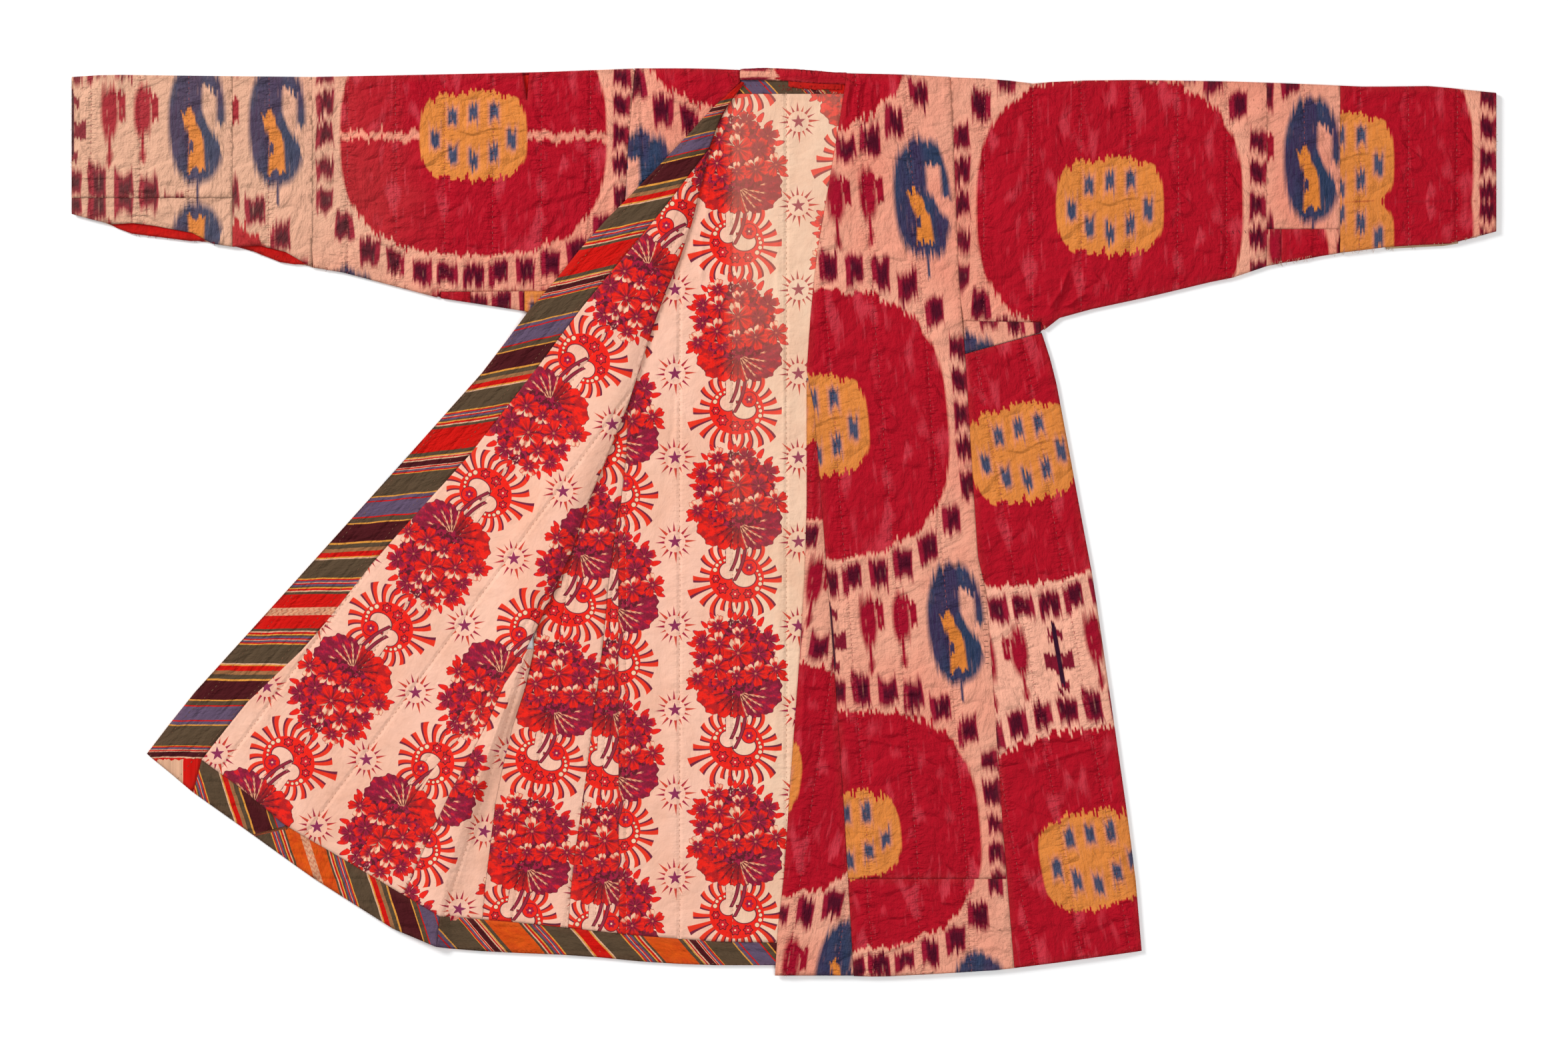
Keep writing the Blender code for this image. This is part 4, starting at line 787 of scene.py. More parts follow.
# Flowers of the bouquet, back ones first: across, down, reach in cm, turn, share of purple.
FLOWERS = [
    (-2.5, -5.3, 1.50, 0.10, 0.30), (1.3, -5.3, 1.55, 0.62, 0.75), (-4.4, -3.2, 1.60, 0.35, 0.55),
    (4.1, -3.4, 1.65, 0.20, 0.80), (-5.1, 1.7, 1.60, 0.75, 0.35), (5.2, 0.4, 1.70, 0.45, 0.15),
    (-4.5, -0.9, 1.45, 0.05, 0.70), (-1.9, 2.0, 1.50, 0.55, 0.45), (2.9, -1.6, 1.75, 0.85, 0.65),
    (-2.3, -2.9, 1.75, 0.30, 0.20), (0.4, -3.9, 1.45, 0.70, 0.40), (-2.6, 0.2, 1.85, 0.15, 0.10),
    (2.5, 1.0, 1.80, 0.95, 0.20), (0.2, -1.7, 2.15, 0.50, 0.00), (0.0, 1.3, 1.40, 0.25, 0.30),
]
# Buds on short stems round it, pointing away from its middle: across, down and half
# length in cm.
BUDS = [
    (-5.2, -4.3, 0.62), (-4.3, -5.5, 0.52), (-0.9, -7.0, 0.60), (-0.2, -6.6, 0.50),
    (3.2, -5.9, 0.66), (4.3, -5.0, 0.60), (5.7, -2.5, 0.62), (-6.0, -2.9, 0.60),
    (-5.7, -1.6, 0.55), (6.3, 1.7, 0.55), (-6.2, 2.8, 0.55), (-3.3, -6.6, 0.45),
    (1.6, -7.1, 0.45),
]
# Rosettes on the crescent: across, down, reach in cm.
ROSETTES = [(-2.75, 0.1, 0.56), (-1.85, 1.35, 0.78), (-0.2, 2.1, 0.74), (1.5, 2.05, 0.66)]
CRESCENT_EYE = (1.65, -1.4)       # its large rosette: across, down
# Beads of the crescent: across, down, reach in cm.
BEADS = [
    (-1.6, -2.35, 0.15), (-2.15, -2.1, 0.18), (-2.6, -1.7, 0.21), (-2.85, -1.1, 0.27),
    (2.75, -0.95, 0.15), (3.0, -0.45, 0.18), (3.15, 0.1, 0.22), (3.1, 0.75, 0.25),
    (2.7, 1.4, 0.29),
]


def flower_group():
    """One five-petalled flower laid over what is already drawn. "Drawn" holds three readings:
    how far out on its petal a point lies, how far beside the petal's middle, and how purple
    the flower is. "Lit" is the side on which the petals' edges are pale."""
    numbers = ("X", "Y", "Across", "Down", "Reach", "Turn", "Purple", "Lit")
    tree, given, result = new_group(
        "bouquet_flower",
        {**dict.fromkeys(numbers, "Float"), "Drawn": "Vector"},
        {"Drawn": "Vector", "Lit": "Float"},
    )
    value = {name: Reading(tree, socket) for name, socket in given.items()}
    reach, angle = from_spot(value["X"], value["Y"], value["Across"], value["Down"])
    petal = abs((angle * (5.0 / (2.0 * pi)) + value["Turn"]).wrapped(0.5)) * 2.0
    frill = (angle * 23.0 + value["Turn"] * 9.0).sine() * 0.035
    edge = (1.0 - (petal ** 3.5) * 0.62 - ((0.25 - petal).larger(0.0) * 0.35) + frill)
    out = reach / (edge * value["Reach"])
    ink = ((1.0 - out) * value["Reach"]).soft(0.06)
    mixed = tree.nodes.new("ShaderNodeMix")
    mixed.data_type = "VECTOR"
    feed(tree, ink, mixed.inputs[0])
    feed(tree, given["Drawn"], mixed.inputs[4])
    feed(tree, place(tree, out, petal, value["Purple"]), mixed.inputs[5])
    lit = tree.nodes.new("ShaderNodeMix")
    feed(tree, ink, lit.inputs[0])
    feed(tree, given["Lit"], lit.inputs[2])
    feed(tree, (angle + 1.9).cosine(), lit.inputs[3])
    feed(tree, mixed.outputs[1], result.inputs["Drawn"])
    feed(tree, lit.outputs[0], result.inputs["Lit"])
    return tree


def place_group(tree, group, **values):
    node = tree.nodes.new("ShaderNodeGroup")
    node.node_tree = group
    return fill(tree, node, **values)


def draw_bouquet(paint, x, y, flower):
    """The bouquet with its fan of leaves and its buds."""
    tree = paint.tree
    lumpy = clouds(x + 5.0, y, 2.0, 0.6, scale=0.9)
    mass = oval(x, y + 1.0, 4.8, 4.9, 2.2) + (lumpy - 0.5) * 3.0
    # the fan of leaves opens from a point below the flowers
    reach, angle = from_spot(x, y, 0.35, 3.35)
    wide = abs(angle.cosine())
    scallop = (abs((angle * 8.0).sine()) - 0.6) * 0.42 + (angle * 37.0).sine() * 0.08
    blade = (wide * wide * 2.3 + 3.25 + scallop - reach)
    blade = blade.smaller((angle + 0.5).larger(-2.5 - angle) * 2.0)
    right = (1.35 - angle).soft(0.1) * (angle + 1.0).soft(0.1)
    base = shaded(tree, right, PRINT_RED, PRINT_PURPLE)
    tips = (reach - 1.6).soft(2.4)
    blade_color = shaded(tree, tips, PRINT_DARK, base)
    mottle = clouds(angle * 5.5, reach * 0.7, 3.0, 0.6)
    blade_color = shaded(tree, (mottle - 0.50).soft(0.10) * 0.55, blade_color, PRINT_DARK)
    blade_color = shaded(tree, (0.40 - mottle).soft(0.06) * 0.7, blade_color, PRINT_RED)
    vein = abs((angle * 2.9 + reach * 0.10).wrapped(0.5)) * reach * 0.34
    barb = (reach * 9.0 - vein * 30.0).sine() * 0.06
    pale = (0.085 + barb - vein).soft(0.07) * (3.5 - reach).soft(0.5) * (reach - 0.1).soft(0.1)
    pale_color = shaded(tree, right, PRINT_DARK, tint(246, 176, 134))
    blade_color = shaded(tree, pale * 0.9, blade_color, pale_color)
    paint.coat((blade + 0.07).soft(0.05), PRINT_DARK)
    paint.coat(blade.soft(0.05), blade_color)
    paint.coat(mass.soft(0.2), PRINT_PURPLE)
    leafy = clouds(x * 1.4 + 3.0, y * 1.4, scale=1.3)
    paint.coat((leafy - 0.5).soft(0.06) * mass.soft(0.2), PRINT_DARK)
    for across, down, half in BUDS:
        turn = atan2(down + 1.0, across)
        c, s = cos(turn), sin(turn)
        along = (x - across) * c + (y - down) * s
        beside = (y - down) * c - (x - across) * s
        stem = (0.05 - abs(beside)).smaller(along + 1.5).smaller(0.0 - along)
        paint.coat((stem + 0.03).soft(0.05), PRINT_DARK)
        bud = oval(along, beside * (along * (0.45 / half) + 1.3), half, half * 0.62)
        paint.coat((bud + 0.05).soft(0.05), PRINT_PURPLE)
        paint.coat((bud - along * 0.10).soft(0.06), PRINT_RED)
    drawn, lit = place(tree, 9.0, 0.0, 0.0), 0.0
    for across, down, size, turn, purple in FLOWERS:
        node = place_group(tree, flower, X=x, Y=y, Across=across, Down=down, Reach=size,
                           Turn=turn, Purple=purple, Drawn=drawn, Lit=lit)
        drawn, lit = node.outputs["Drawn"], node.outputs["Lit"]
    split = tree.nodes.new("ShaderNodeSeparateXYZ")
    feed(tree, drawn, split.inputs[0])
    out, petal, purple = (Reading(tree, socket) for socket in split.outputs)
    lit = Reading(tree, lit)
    ripe = (out - 0.24 - purple * 0.66).soft(0.30)
    petals = Paint(tree, shaded(tree, ripe, PRINT_PURPLE, PRINT_RED))
    streak = (((petal * 11.0).sine() - 0.1).soft(0.8)) * (0.75 - out).soft(0.5)
    petals.coat(streak * 0.55, PRINT_DARK)
    petals.coat((petal - 0.80).soft(0.2) * 0.9, PRINT_DARK)
    pale = (out - 0.60).soft(0.12) * (0.94 - out).soft(0.06) * (lit - 0.70).soft(0.25)
    pale = pale * (0.5 - purple).soft(0.1) * (petal - 0.10).soft(0.3)
    petals.coat(pale * 0.9, PRINT_CREAM)
    petals.coat((0.09 - out).soft(0.04) * 0.7, tint(240, 140, 100))
    petals.coat((out - 0.95).soft(0.05) * 0.8, PRINT_DARK)
    paint.coat((1.02 - out).soft(0.04), petals.color)


def draw_sunburst(paint, x, y):
    """A five-pointed star in a ring of sixteen thin rays."""
    reach, angle = from_spot(x, y)
    angle = angle + 0.06
    spoke = (angle * (16.0 / (2.0 * pi))).wrapped(0.5)
    lengths = (angle * 8.0).cosine() * 0.22 + (angle * 3.0 + 0.8).cosine() * 0.16 + 2.55
    ray = (lengths - reach) * 0.14 - abs(spoke) * reach * 0.39
    ray = ray.smaller(reach - 1.38)
    tone = ((angle * 5.0 + 1.0).sine() + spoke * 5.0).soft(1.4)
    point = ((angle + pi / 2.0) * (5.0 / (2.0 * pi))).wrapped(0.5)
    star = 0.37 / (abs(point) * 1.24 + 0.38) - reach
    paint.coat(ray.soft(0.05), shaded(paint.tree, tone, PRINT_PURPLE, tint(212, 62, 40)))
    paint.coat(star.soft(0.05), tint(140, 40, 84))


def draw_crescent(paint, x, y, ground):
    """A round crescent with rosettes and beads, and curved rays that bend round it."""
    tree = paint.tree
    reach = (x * x + (y * y) * 1.25).root()
    angle = x.angle(y)
    beyond = (reach - 3.2).larger(0.0)
    bend = abs(angle) - beyond * beyond * (abs(angle) - 1.3) * 0.026
    count = bend * (25.0 / (2.0 * pi))
    spoke = count.wrapped(0.5)
    random = tree.nodes.new("ShaderNodeTexWhiteNoise")
    random.noise_dimensions = "2D"
    feed(tree, place(tree, count.round(), x > 0.0), random.inputs["Vector"])
    long = Reading(tree, random.outputs[0]) * 2.1 + 4.9
    width = (reach - 3.0) * 0.055 + 0.23
    beside = spoke * reach * 0.25
    ray = (width - abs(beside)).smaller(long - reach).smaller(reach - 2.9)
    ray = ray.smaller((2.75 - abs(angle)) * 2.0)
    shade = beside * -1.0 * ((x > 0.0) * 2.0 - 1.0) + width * 0.35
    paint.coat(ray.soft(0.05), shaded(tree, shade.soft(0.05), tint(110, 24, 56), PRINT_ORANGE))
    paint.coat((3.6 - reach).soft(0.06), PRINT_RED)
    for across, down, size in ROSETTES:
        near, turn = from_spot(x, y, across, down)
        wavy = (turn * 6.0).cosine() * (0.14 * size) + 0.80 * size
        paint.coat((wavy - near).soft(0.05) * 0.4, PRINT_PURPLE)
        paint.coat((0.07 - abs(near - wavy)).soft(0.05), PRINT_DARK)
        paint.coat((0.16 * size - near).soft(0.06), PRINT_CREAM)
    left = oval(x + 1.15, y + 0.95, 1.05, 1.05)
    right = oval(x - 1.0, y, 1.5, 1.15)
    mouth = block(x + 0.45, y + 3.0, 0.95, 1.75)
    hollow = left.larger(right).larger(mouth)
    paint.coat((hollow + 0.12).soft(0.06), PRINT_LINE)
    paint.coat(hollow.soft(0.06), ground)
    near, turn = from_spot(x, y, *CRESCENT_EYE)
    wavy = (turn * 6.0).cosine() * 0.09 + 0.50
    for size, color in ((1.06, PRINT_LINE), (0.96, PRINT_RED), (wavy, PRINT_PURPLE),
                        (0.13, PRINT_CREAM)):
        paint.coat((size - near).soft(0.05), color)
    for across, down, size in BEADS:
        near, _ = from_spot(x, y, across, down)
        paint.coat((size + 0.06 - near).soft(0.04), PRINT_DARK)
        paint.coat((size - near).soft(0.05), PRINT_CREAM)


def print_group():
    """Roller-printed cotton: bouquets over crescents in columns, a half drop from each
    other, with a column of sunbursts between them."""
    tree, given, result = new_group(
        "printed_cotton_design", {"Cloth": "Vector", "Ground": "Color"}, {"Color": "Color"}
    )
    u, v = cloth_axes(tree, given["Cloth"])
    ground = given["Ground"]
    paint = Paint(tree, ground)
    column = (u / PRINT_ACROSS).round()
    x = u - column * PRINT_ACROSS
    y = (v + column * (PRINT_DOWN / 2.0)).wrapped(PRINT_DOWN / 2.0)
    star_x = (u - PRINT_ACROSS / 2.0).wrapped(PRINT_ACROSS / 2.0)
    draw_sunburst(paint, star_x, (v + 5.3).wrapped(PRINT_DOWN / 4.0))
    draw_crescent(paint, x, (y - 10.6).wrapped(PRINT_DOWN / 2.0), ground)
    # two stems cross the crescent's mouth
    for start, lean, low, high in ((0.25, 0.075, 6.2, 9.6), (1.15, 0.06, 6.4, 10.9)):
        bow = x - start + (y - 6.0) * (y - 6.0) * lean
        stem = (0.19 - abs(bow)).smaller(high - y).smaller(y - low)
        paint.coat((stem + 0.07).soft(0.05), PRINT_DARK)
        paint.coat((stem - 0.03).soft(0.05), tint(150, 34, 60))
    draw_bouquet(paint, x, y, flower_group())
    blur = clouds(u * 1.3, v * 1.3, 2.0, 0.6, scale=4.0)
    paint.coat((blur - 0.45).soft(0.6) * 0.04, ground)
    feed(tree, paint.color, result.inputs["Color"])
    return tree


OLIVE = (88, 70, 52)
RED = (206, 22, 16)
YELLOW = (222, 150, 62)
BROWN = (76, 24, 28)
CREAM = (222, 172, 140)
PURPLE_GREY = (98, 80, 104)
TAN = (158, 108, 70)
# The warp stripes of the facing cloth in order: colour and width in cm.
STRIPES = [
    (BROWN, 2.2), (YELLOW, 0.23), (OLIVE, 0.53), (TAN, 0.45), (RED, 0.68), (YELLOW, 0.15),
    (CREAM, 0.15), (OLIVE, 2.27), (YELLOW, 0.12), (RED, 0.15), (PURPLE_GREY, 0.2),
    (CREAM, 0.12), (RED, 0.12), (PURPLE_GREY, 0.25), (OLIVE, 0.17), (YELLOW, 0.12),
    (RED, 0.22), (CREAM, 0.2), (OLIVE, 0.3), (RED, 2.8), (OLIVE, 0.45), (YELLOW, 0.1),
    (CREAM, 0.12), (RED, 0.15), (CREAM, 0.12), (BROWN, 0.6), (CREAM, 0.12), (RED, 0.12),
    (CREAM, 0.12), (PURPLE_GREY, 0.2), (RED, 0.13), (YELLOW, 0.12), (OLIVE, 2.42),
    (YELLOW, 0.11), (PURPLE_GREY, 0.38), (RED, 0.2), (PURPLE_GREY, 1.6), (RED, 0.2),
    (OLIVE, 0.53), (YELLOW, 0.17),
]


def stripe_ramp(tree, share, stripes, start, total):
    ramp = tree.nodes.new("ShaderNodeValToRGB")
    ramp.color_ramp.interpolation = "CONSTANT"
    feed(tree, share, ramp.inputs[0])
    at = start
    for index, (color, width) in enumerate(stripes):
        if index < 2:
            element = ramp.color_ramp.elements[index]
            element.position = at / total
        else:
            element = ramp.color_ramp.elements.new(at / total)
        element.color = tint(*color)
        at += width
    return ramp.outputs[0], at


def stripe_group():
    """Striped cotton: a table of warp stripes, a little uneven from thread to thread."""
    tree, given, result = new_group(
        "striped_cotton_design",
        {"Cloth": "Vector", "Faded red": "Float"},
        {"Color": "Color"},
    )
    u, v = cloth_axes(tree, given["Cloth"])
    total = sum(width for _, width in STRIPES)
    from_turn = abs(v - STRIPE_TURN)
    w = 2.5 * total + 1.03 - from_turn
    bow = clouds(u * 0.25, v * 0.08, 1.0)
    slack = clouds(u * 0.9, v * 0.5, 3.0, 0.7)
    w = w + (bow - 0.5) * 0.35 + (slack - 0.5) * 0.12
    share = w / total
    share = share - share.floor()
    low, middle = stripe_ramp(tree, share, STRIPES[:20], 0.0, total)
    high, _ = stripe_ramp(tree, share, STRIPES[20:], middle, total)
    paint = Paint(tree, shaded(tree, share > middle / total, low, high))
    sun = (share - 8.45 / total).smaller(11.5 / total - share) > 0.0
    faded = sun * Reading(tree, given["Faded red"])
    patchy = clouds(u * 0.8, v * 0.8, 3.0)
    orange = shaded(tree, (patchy - 0.5).soft(0.5), tint(224, 92, 22), tint(206, 66, 20))
    paint.coat(faded * (share > 8.58 / total), orange)
    band = 0.48 - from_turn
    braid = (u * 9.0 + (v * 11.0).sine() * 1.6).sine()
    light, dark = tint(222, 160, 124), tint(190, 92, 66)
    band_color = shaded(tree, (braid - 0.3).soft(0.5) * 0.5, light, dark)
    paint.coat(band.soft(0.04), band_color)
    thread = clouds(u * 0.4, v * 12.0, 3.0, 0.7)
    fleck = clouds(u * 5.0, v * 5.0, 2.0, 0.7)
    shades = grey(tree, thread * 0.42 + fleck * 0.30 + 0.64)
    paint.coat(1.0, shades, "MULTIPLY")
    feed(tree, paint.color, result.inputs["Color"])
    return tree


def weave_group():
    """Threads, slubs, wrinkles and the furrows of the quilting of a woven cloth, as the
    height of its surface in millimetres."""
    tree, given, result = new_group(
        "woven_surface",
        {"Cloth": "Vector", "Wrinkle": "Float", "Quilted from": "Float",
         "Quilted every": "Float"},
        {"Height": "Float"},
    )
    u, v = cloth_axes(tree, given["Cloth"])
    slub = clouds(u * 1.6, v * 7.0, 3.0, 0.7)
    warp = clouds(u * 8.0, v * 0.8, 2.0, 0.6)
    wander = clouds(u * 0.07, v * 0.05, 1.0)
    across, down = u + (wander - 0.5) * 9.0, v - (wander - 0.5) * 9.0
    folds = clouds(across * 0.17, down * 0.24)
    crinkle = clouds(across * 0.8, down * 0.55, 4.0, 0.6, z=4.0)
    ridge = abs(folds - 0.5).smaller(0.10)
    every = Reading(tree, given["Quilted every"])
    beside = (u - Reading(tree, given["Quilted from"])) / every
    beside = abs(beside - beside.round()) * every
    furrow = (0.40 - beside).larger(0.0) * 1.7
    pucker = clouds(u * 0.7, v * 1.5, 2.0, 0.6, z=2.0)
    near = (1.7 - beside).larger(0.0) * 0.9
    height = ridge * 11.0 + crinkle * 3.9 + (folds - 0.5) * 6.0 + (pucker - 0.5) * near * 3.4
    height = height * Reading(tree, given["Wrinkle"]) - furrow
    height = height + slub * 0.16 + warp * 0.10
    feed(tree, height, result.inputs["Height"])
    return tree


def edge_group():
    """The edge of a panel: a dark line along the seam, which is painted shade standing in for the
    shadow in the gap between panels, and a brownish band beside it, uneven and darkest at the
    edge."""
    tree, given, result = new_group(
        "rim_painted_shade_and_band",
        {"Rim": "Float", "Color": "Color", "Place": "Vector"},
        {"Color": "Color"},
    )
    rim = Reading(tree, given["Rim"])
    uneven = cloudy(tree, given["Place"], 60.0, 3.0, 0.6)
    # a brownish band beside the rim, uneven and darkest at the edge
    soft = (0.55 - rim + (uneven - 0.5) * 0.8).soft(0.9)
    color = shaded(tree, soft * 0.10, given["Color"], tint(120, 70, 55))
    # painted shade: a dark line along the rim stands in for the shadow in the seam's gap
    line = (0.07 - rim).soft(0.08)
    color = shaded(tree, line * 0.22, color, tint(60, 24, 22))
    feed(tree, color, result.inputs["Color"])
    return tree


# ---------------------------------------------------------------- finishes
def new_material(name):
    made = bpy.data.materials.new(name)
    made.use_nodes = True
    return made, made.node_tree, made.node_tree.nodes["Principled BSDF"]

def raise_surface(tree, shader, height, distance, strength=1.0):
    bump = add_node(tree, "ShaderNodeBump", Strength=strength, Distance=distance,
                    Height=height)
    feed(tree, bump.outputs[0], shader.inputs["Normal"])

def cloth_finish(name, group, weave, edge, roughness, sheen, wrinkle, quilted, extra=None):
    """A woven cloth: its design gives the colour and the weave gives the surface."""
    made, tree, shader = new_material(name)
    source = tree.nodes.new("ShaderNodeUVMap")
    source.uv_map = "cloth"
    design = place_group(tree, group, Cloth=source.outputs[0])
    color = design.outputs["Color"]
    if extra:
        color = extra(tree, design, color)
    rim = tree.nodes.new("ShaderNodeAttribute")
    rim.attribute_name = "rim"
    # the colour with a painted shade line along each panel's rim, and a brownish band beside it
    rim_shaded = place_group(tree, edge, Rim=rim.outputs["Fac"], Color=color,
                       Place=object_axes(tree))
    surface = place_group(tree, weave, Cloth=source.outputs[0], Wrinkle=wrinkle,
                          Quilted_from=quilted[0], Quilted_every=quilted[1])
    raise_surface(tree, shader, surface.outputs["Height"], 1.0 * MM)
    fill(tree, shader, Base_Color=rim_shaded.outputs["Color"], Roughness=roughness,
         Specular_IOR_Level=0.04, Sheen_Weight=sheen, Sheen_Roughness=0.5)
    return made


def object_axes(tree):
    node = tree.nodes.new("ShaderNodeTexCoord")
    return node.outputs["Object"]


def faded_ground(tree, design, color):
    """The lining's ground: pinkish where it was covered. Right of an old fold line it has
    yellowed, and the print's purple has faded to mauve."""
    where = object_axes(tree)
    x, y = cloth_axes(tree, where)
    patchy = cloudy(tree, where, 5.0, 4.0, 0.6)
    beside = (x + 0.073 + (patchy - 0.5) * 0.02).soft(0.02)
    bare = beside * (y - 0.12 + (patchy - 0.5) * 0.6).soft(0.5)
    light = (beside * 0.85 - 0.45 + (patchy - 0.5) * 0.9).soft(1.0)
    ground = shaded(tree, light, tint(250, 196, 172), tint(244, 206, 176))
    stain = cloudy(tree, where, 7.0, 6.0, 0.65)
    ground = shaded(tree, (stain - 0.53).soft(0.2) * 0.34, ground, tint(226, 158, 124))
    feed(tree, ground, design.inputs["Ground"])
    faded = shaded(tree, bare * (0.25 + patchy * 0.7), color, tint(190, 112, 96), "LIGHTEN")
    return faded


def worn_ground(tree, design, color):
    """The ikat's ground: paler on the far sleeve, where the cloth is rubbed, and on the side
    gore.
    """
    where = object_axes(tree)
    x, y = cloth_axes(tree, where)
    patchy = cloudy(tree, where, 4.0, 4.0, 0.6)
    share = (x * -1.0 - 0.60 + (patchy - 0.5) * 0.5).soft(0.30)
    stained = shaded(tree, (patchy - 0.48).soft(0.2), PINK, tint(236, 164, 138))
    ground = shaded(tree, share * 0.9, stained, tint(218, 168, 140))
    # the side gore was cut from a paler length of the cloth
    gore = (x - 0.2613 + y * 0.0714).soft(0.004) * (0.21 - y).soft(0.01)
    ground = shaded(tree, gore * 0.85, ground, tint(246, 178, 152))
    feed(tree, ground, design.inputs["Ground"])
    return shaded(tree, share * 0.05, color, tint(230, 190, 156))


def make_plain_design(name, color, mottled):
    tree, given, result = new_group(name, {"Cloth": "Vector"}, {"Color": "Color"})
    u, v = cloth_axes(tree, given["Cloth"])
    patch = clouds(u * 0.5, v * 0.4, 4.0, 0.6)
    found = shaded(tree, (patch - 0.5).soft(0.5), color, mottled)
    feed(tree, found, result.inputs["Color"])
    return tree


def with_switch(label, ground=None):
    """Switches one of a design's features on, and draws its ground."""
    def draw(tree, design, color):
        design.inputs[label].default_value = 1.0
        return ground(tree, design, color) if ground else color
    return draw

def make_finishes():
    """The finish of each cloth: name, design, roughness, sheen, wrinkles, lines of quilting,
    and what is drawn on its own ground."""
    weave, edge, ikat, stripe = weave_group(), edge_group(), ikat_group(), stripe_group()
    red = make_plain_design("red_cotton_dye", tint(208, 26, 20), tint(168, 20, 20))
    pale = make_plain_design("pale_cotton_dye", tint(214, 186, 150), tint(186, 150, 120))
    silky, plain = (0.62, 0.012, 1.3), (0.85, 0.01, 1.0, PLAIN_SEWN)
    ribbed = (0.8, 0.01, 0.8, (1.5, 3.2))
    table = {
        "ikat": ("ikat", ikat, *silky, QUILTED["ikat"], worn_ground),
        "ikat_mirrored": ("ikat_mirrored", ikat, *silky, QUILTED["ikat_mirrored"],
                          with_switch("Pale fold", worn_ground)),
        "ikat_cuff": ("ikat_cuff", ikat, *silky, QUILTED["ikat_cuff"],
                      with_switch("Dark fold", worn_ground)),
        "print": ("printed_cotton", print_group(), 0.85, 0.01, 0.35, QUILTED["print"],
                  faded_ground),
        "stripe": ("striped_cotton", stripe, *ribbed),
        "faded_stripe": ("sun_faded_striped_cotton", stripe, *ribbed,
                         with_switch("Faded red")),
        "red": ("red_cotton", red, *plain),
        "pale": ("pale_cotton", pale, *plain),
    }
    return {cloth: cloth_finish(name, design, weave, edge, *rest)
            for cloth, (name, design, *rest) in table.items()}


# ---------------------------------------------------------------- floor, light, camera
# Lamps that face the robe's middle: where each stands, its size in metres, its watts.
LAMPS = [
    ("window", (-4.8, 3.52, 3.04), 2.24, 470.0),
    ("sky", (1.7, -0.7, 4.2), 3.0, 105.0),
]

def set_stage():
    """A pale floor, soft light, and a camera straight above the robe."""
    mesh = bpy.data.meshes.new("floor")
    reach, level = 6.0, -0.6 * MM
    corners = ((-reach, -reach), (reach, -reach), (reach, reach), (-reach, reach))
    mesh.from_pydata([(x, y, level) for x, y in corners], [], [(0, 1, 2, 3)])
    finish, tree, shader = new_material("pale_floor")
    fill(tree, shader, Base_Color=(0.93, 0.93, 0.93, 1.0), Roughness=0.9,
         Specular_IOR_Level=0.1)
    mesh.materials.append(finish)
    floor = put("floor", mesh)

    for name, stand, size, watts in LAMPS:
        data = bpy.data.lights.new(name, "AREA")
        data.size = size
        data.energy = watts
        lamp = put(name, data)
        lamp.location = stand
        lamp.rotation_euler = (-Vector(stand)).to_track_quat("-Z", "Y").to_euler()
    world = bpy.data.worlds.new("room")
    world.use_nodes = True
    fill(world.node_tree, world.node_tree.nodes["Background"],
         Color=(1.0, 1.0, 1.0, 1.0), Strength=0.34)
    bpy.context.scene.world = world
    bpy.context.scene.view_settings.view_transform = "Standard"

    lens = bpy.data.cameras.new("camera")
    lens.lens = 85.0
    lens.sensor_width = 36.0
    camera = put("camera", lens)
    camera.location = (0.0, 0.0, VIEW_WIDTH * lens.lens / lens.sensor_width + 4.0 * MM)
    bpy.context.scene.camera = camera


# ---------------------------------------------------------------- threads
# Pieces whose quilting shows from above, by the thread they were quilted with.
QUILTED_PIECES = {
    "crimson_quilting": (
        "left_front", "left_front_strip", "left_side_gore", "sleeve_left_upper",
        "sleeve_left_cuff", "sleeve_left_strip", "sleeve_right_upper", "sleeve_right_cuff",
        "sleeve_right_strip", "left_front_hem_piece",
    ),
    "lining_quilting": (
        "lining_back", "lining_back_wedge", "lining_side", "lining_fold", "lining_front",
        "lining_front_wedge",
    ),
}
# Rows of stitching along the facings, which follow no warp: their corners (across, down).
FACING_ROWS = [
    [(-12.6, 9.5), (-30.5, 29.5), (-50.0, 52.5), (-74.0, 80.5), (-89.5, 97.0)],
    [(-9.0, 11.0), (-28.0, 32.5), (-47.0, 55.5), (-70.5, 83.0), (-84.5, 99.0)],
    [(-83.0, 104.0), (-70.0, 110.0), (-54.0, 117.3), (-34.0, 118.6), (-8.0, 118.4)],
]
# Overcast mends: both ends of the seam (across, down), stitches, half their length in cm.
MENDS = [
    ((26.1, 66.5), (26.9, 79.0), 17, 0.28),
    ((-63.5, 27.0), (-57.0, 28.6), 8, 0.24),
    ((57.3, 21.7), (62.8, 21.6), 7, 0.20),
]
# Frayed edges: thread, both ends of the edge, threads, their length in cm, and which way
# they point in degrees (90 is down).
FRAYED = [
    ("pale_thread", (63.6, 25.9), (70.0, 24.7), 26, 0.8, 92.0),
    ("pale_thread", (72.0, 24.4), (88.0, 23.0), 34, 0.6, 92.0),
    ("pale_thread", (87.9, 23.0), (93.0, 21.7), 14, 0.6, 92.0),
    ("red_thread", (-86.3, 21.7), (-74.4, 23.1), 26, 0.6, 92.0),
    ("red_thread", (-70.5, 23.9), (-59.0, 26.7), 22, 0.7, 96.0),
    ("red_thread", (7.4, 0.9), (9.6, 2.2), 16, 0.7, 60.0),
    ("red_thread", (-0.4, 2.6), (7.2, 3.1), 46, 0.5, 95.0),
    ("pale_thread", (1.5, 2.7), (7.2, 3.2), 14, 0.5, 90.0),
    ("red_thread", (-7.0, 2.2), (6.8, 2.4), 34, 0.4, 90.0),
    ("red_thread", (-7.6, 0.4), (-6.6, 1.6), 12, 0.5, 80.0),
    ("pale_thread", (-93.9, 1.2), (-93.9, 16.0), 14, 0.5, 180.0),
    ("pale_thread", (93.9, 3.2), (93.9, 16.5), 14, 0.5, 0.0),
]


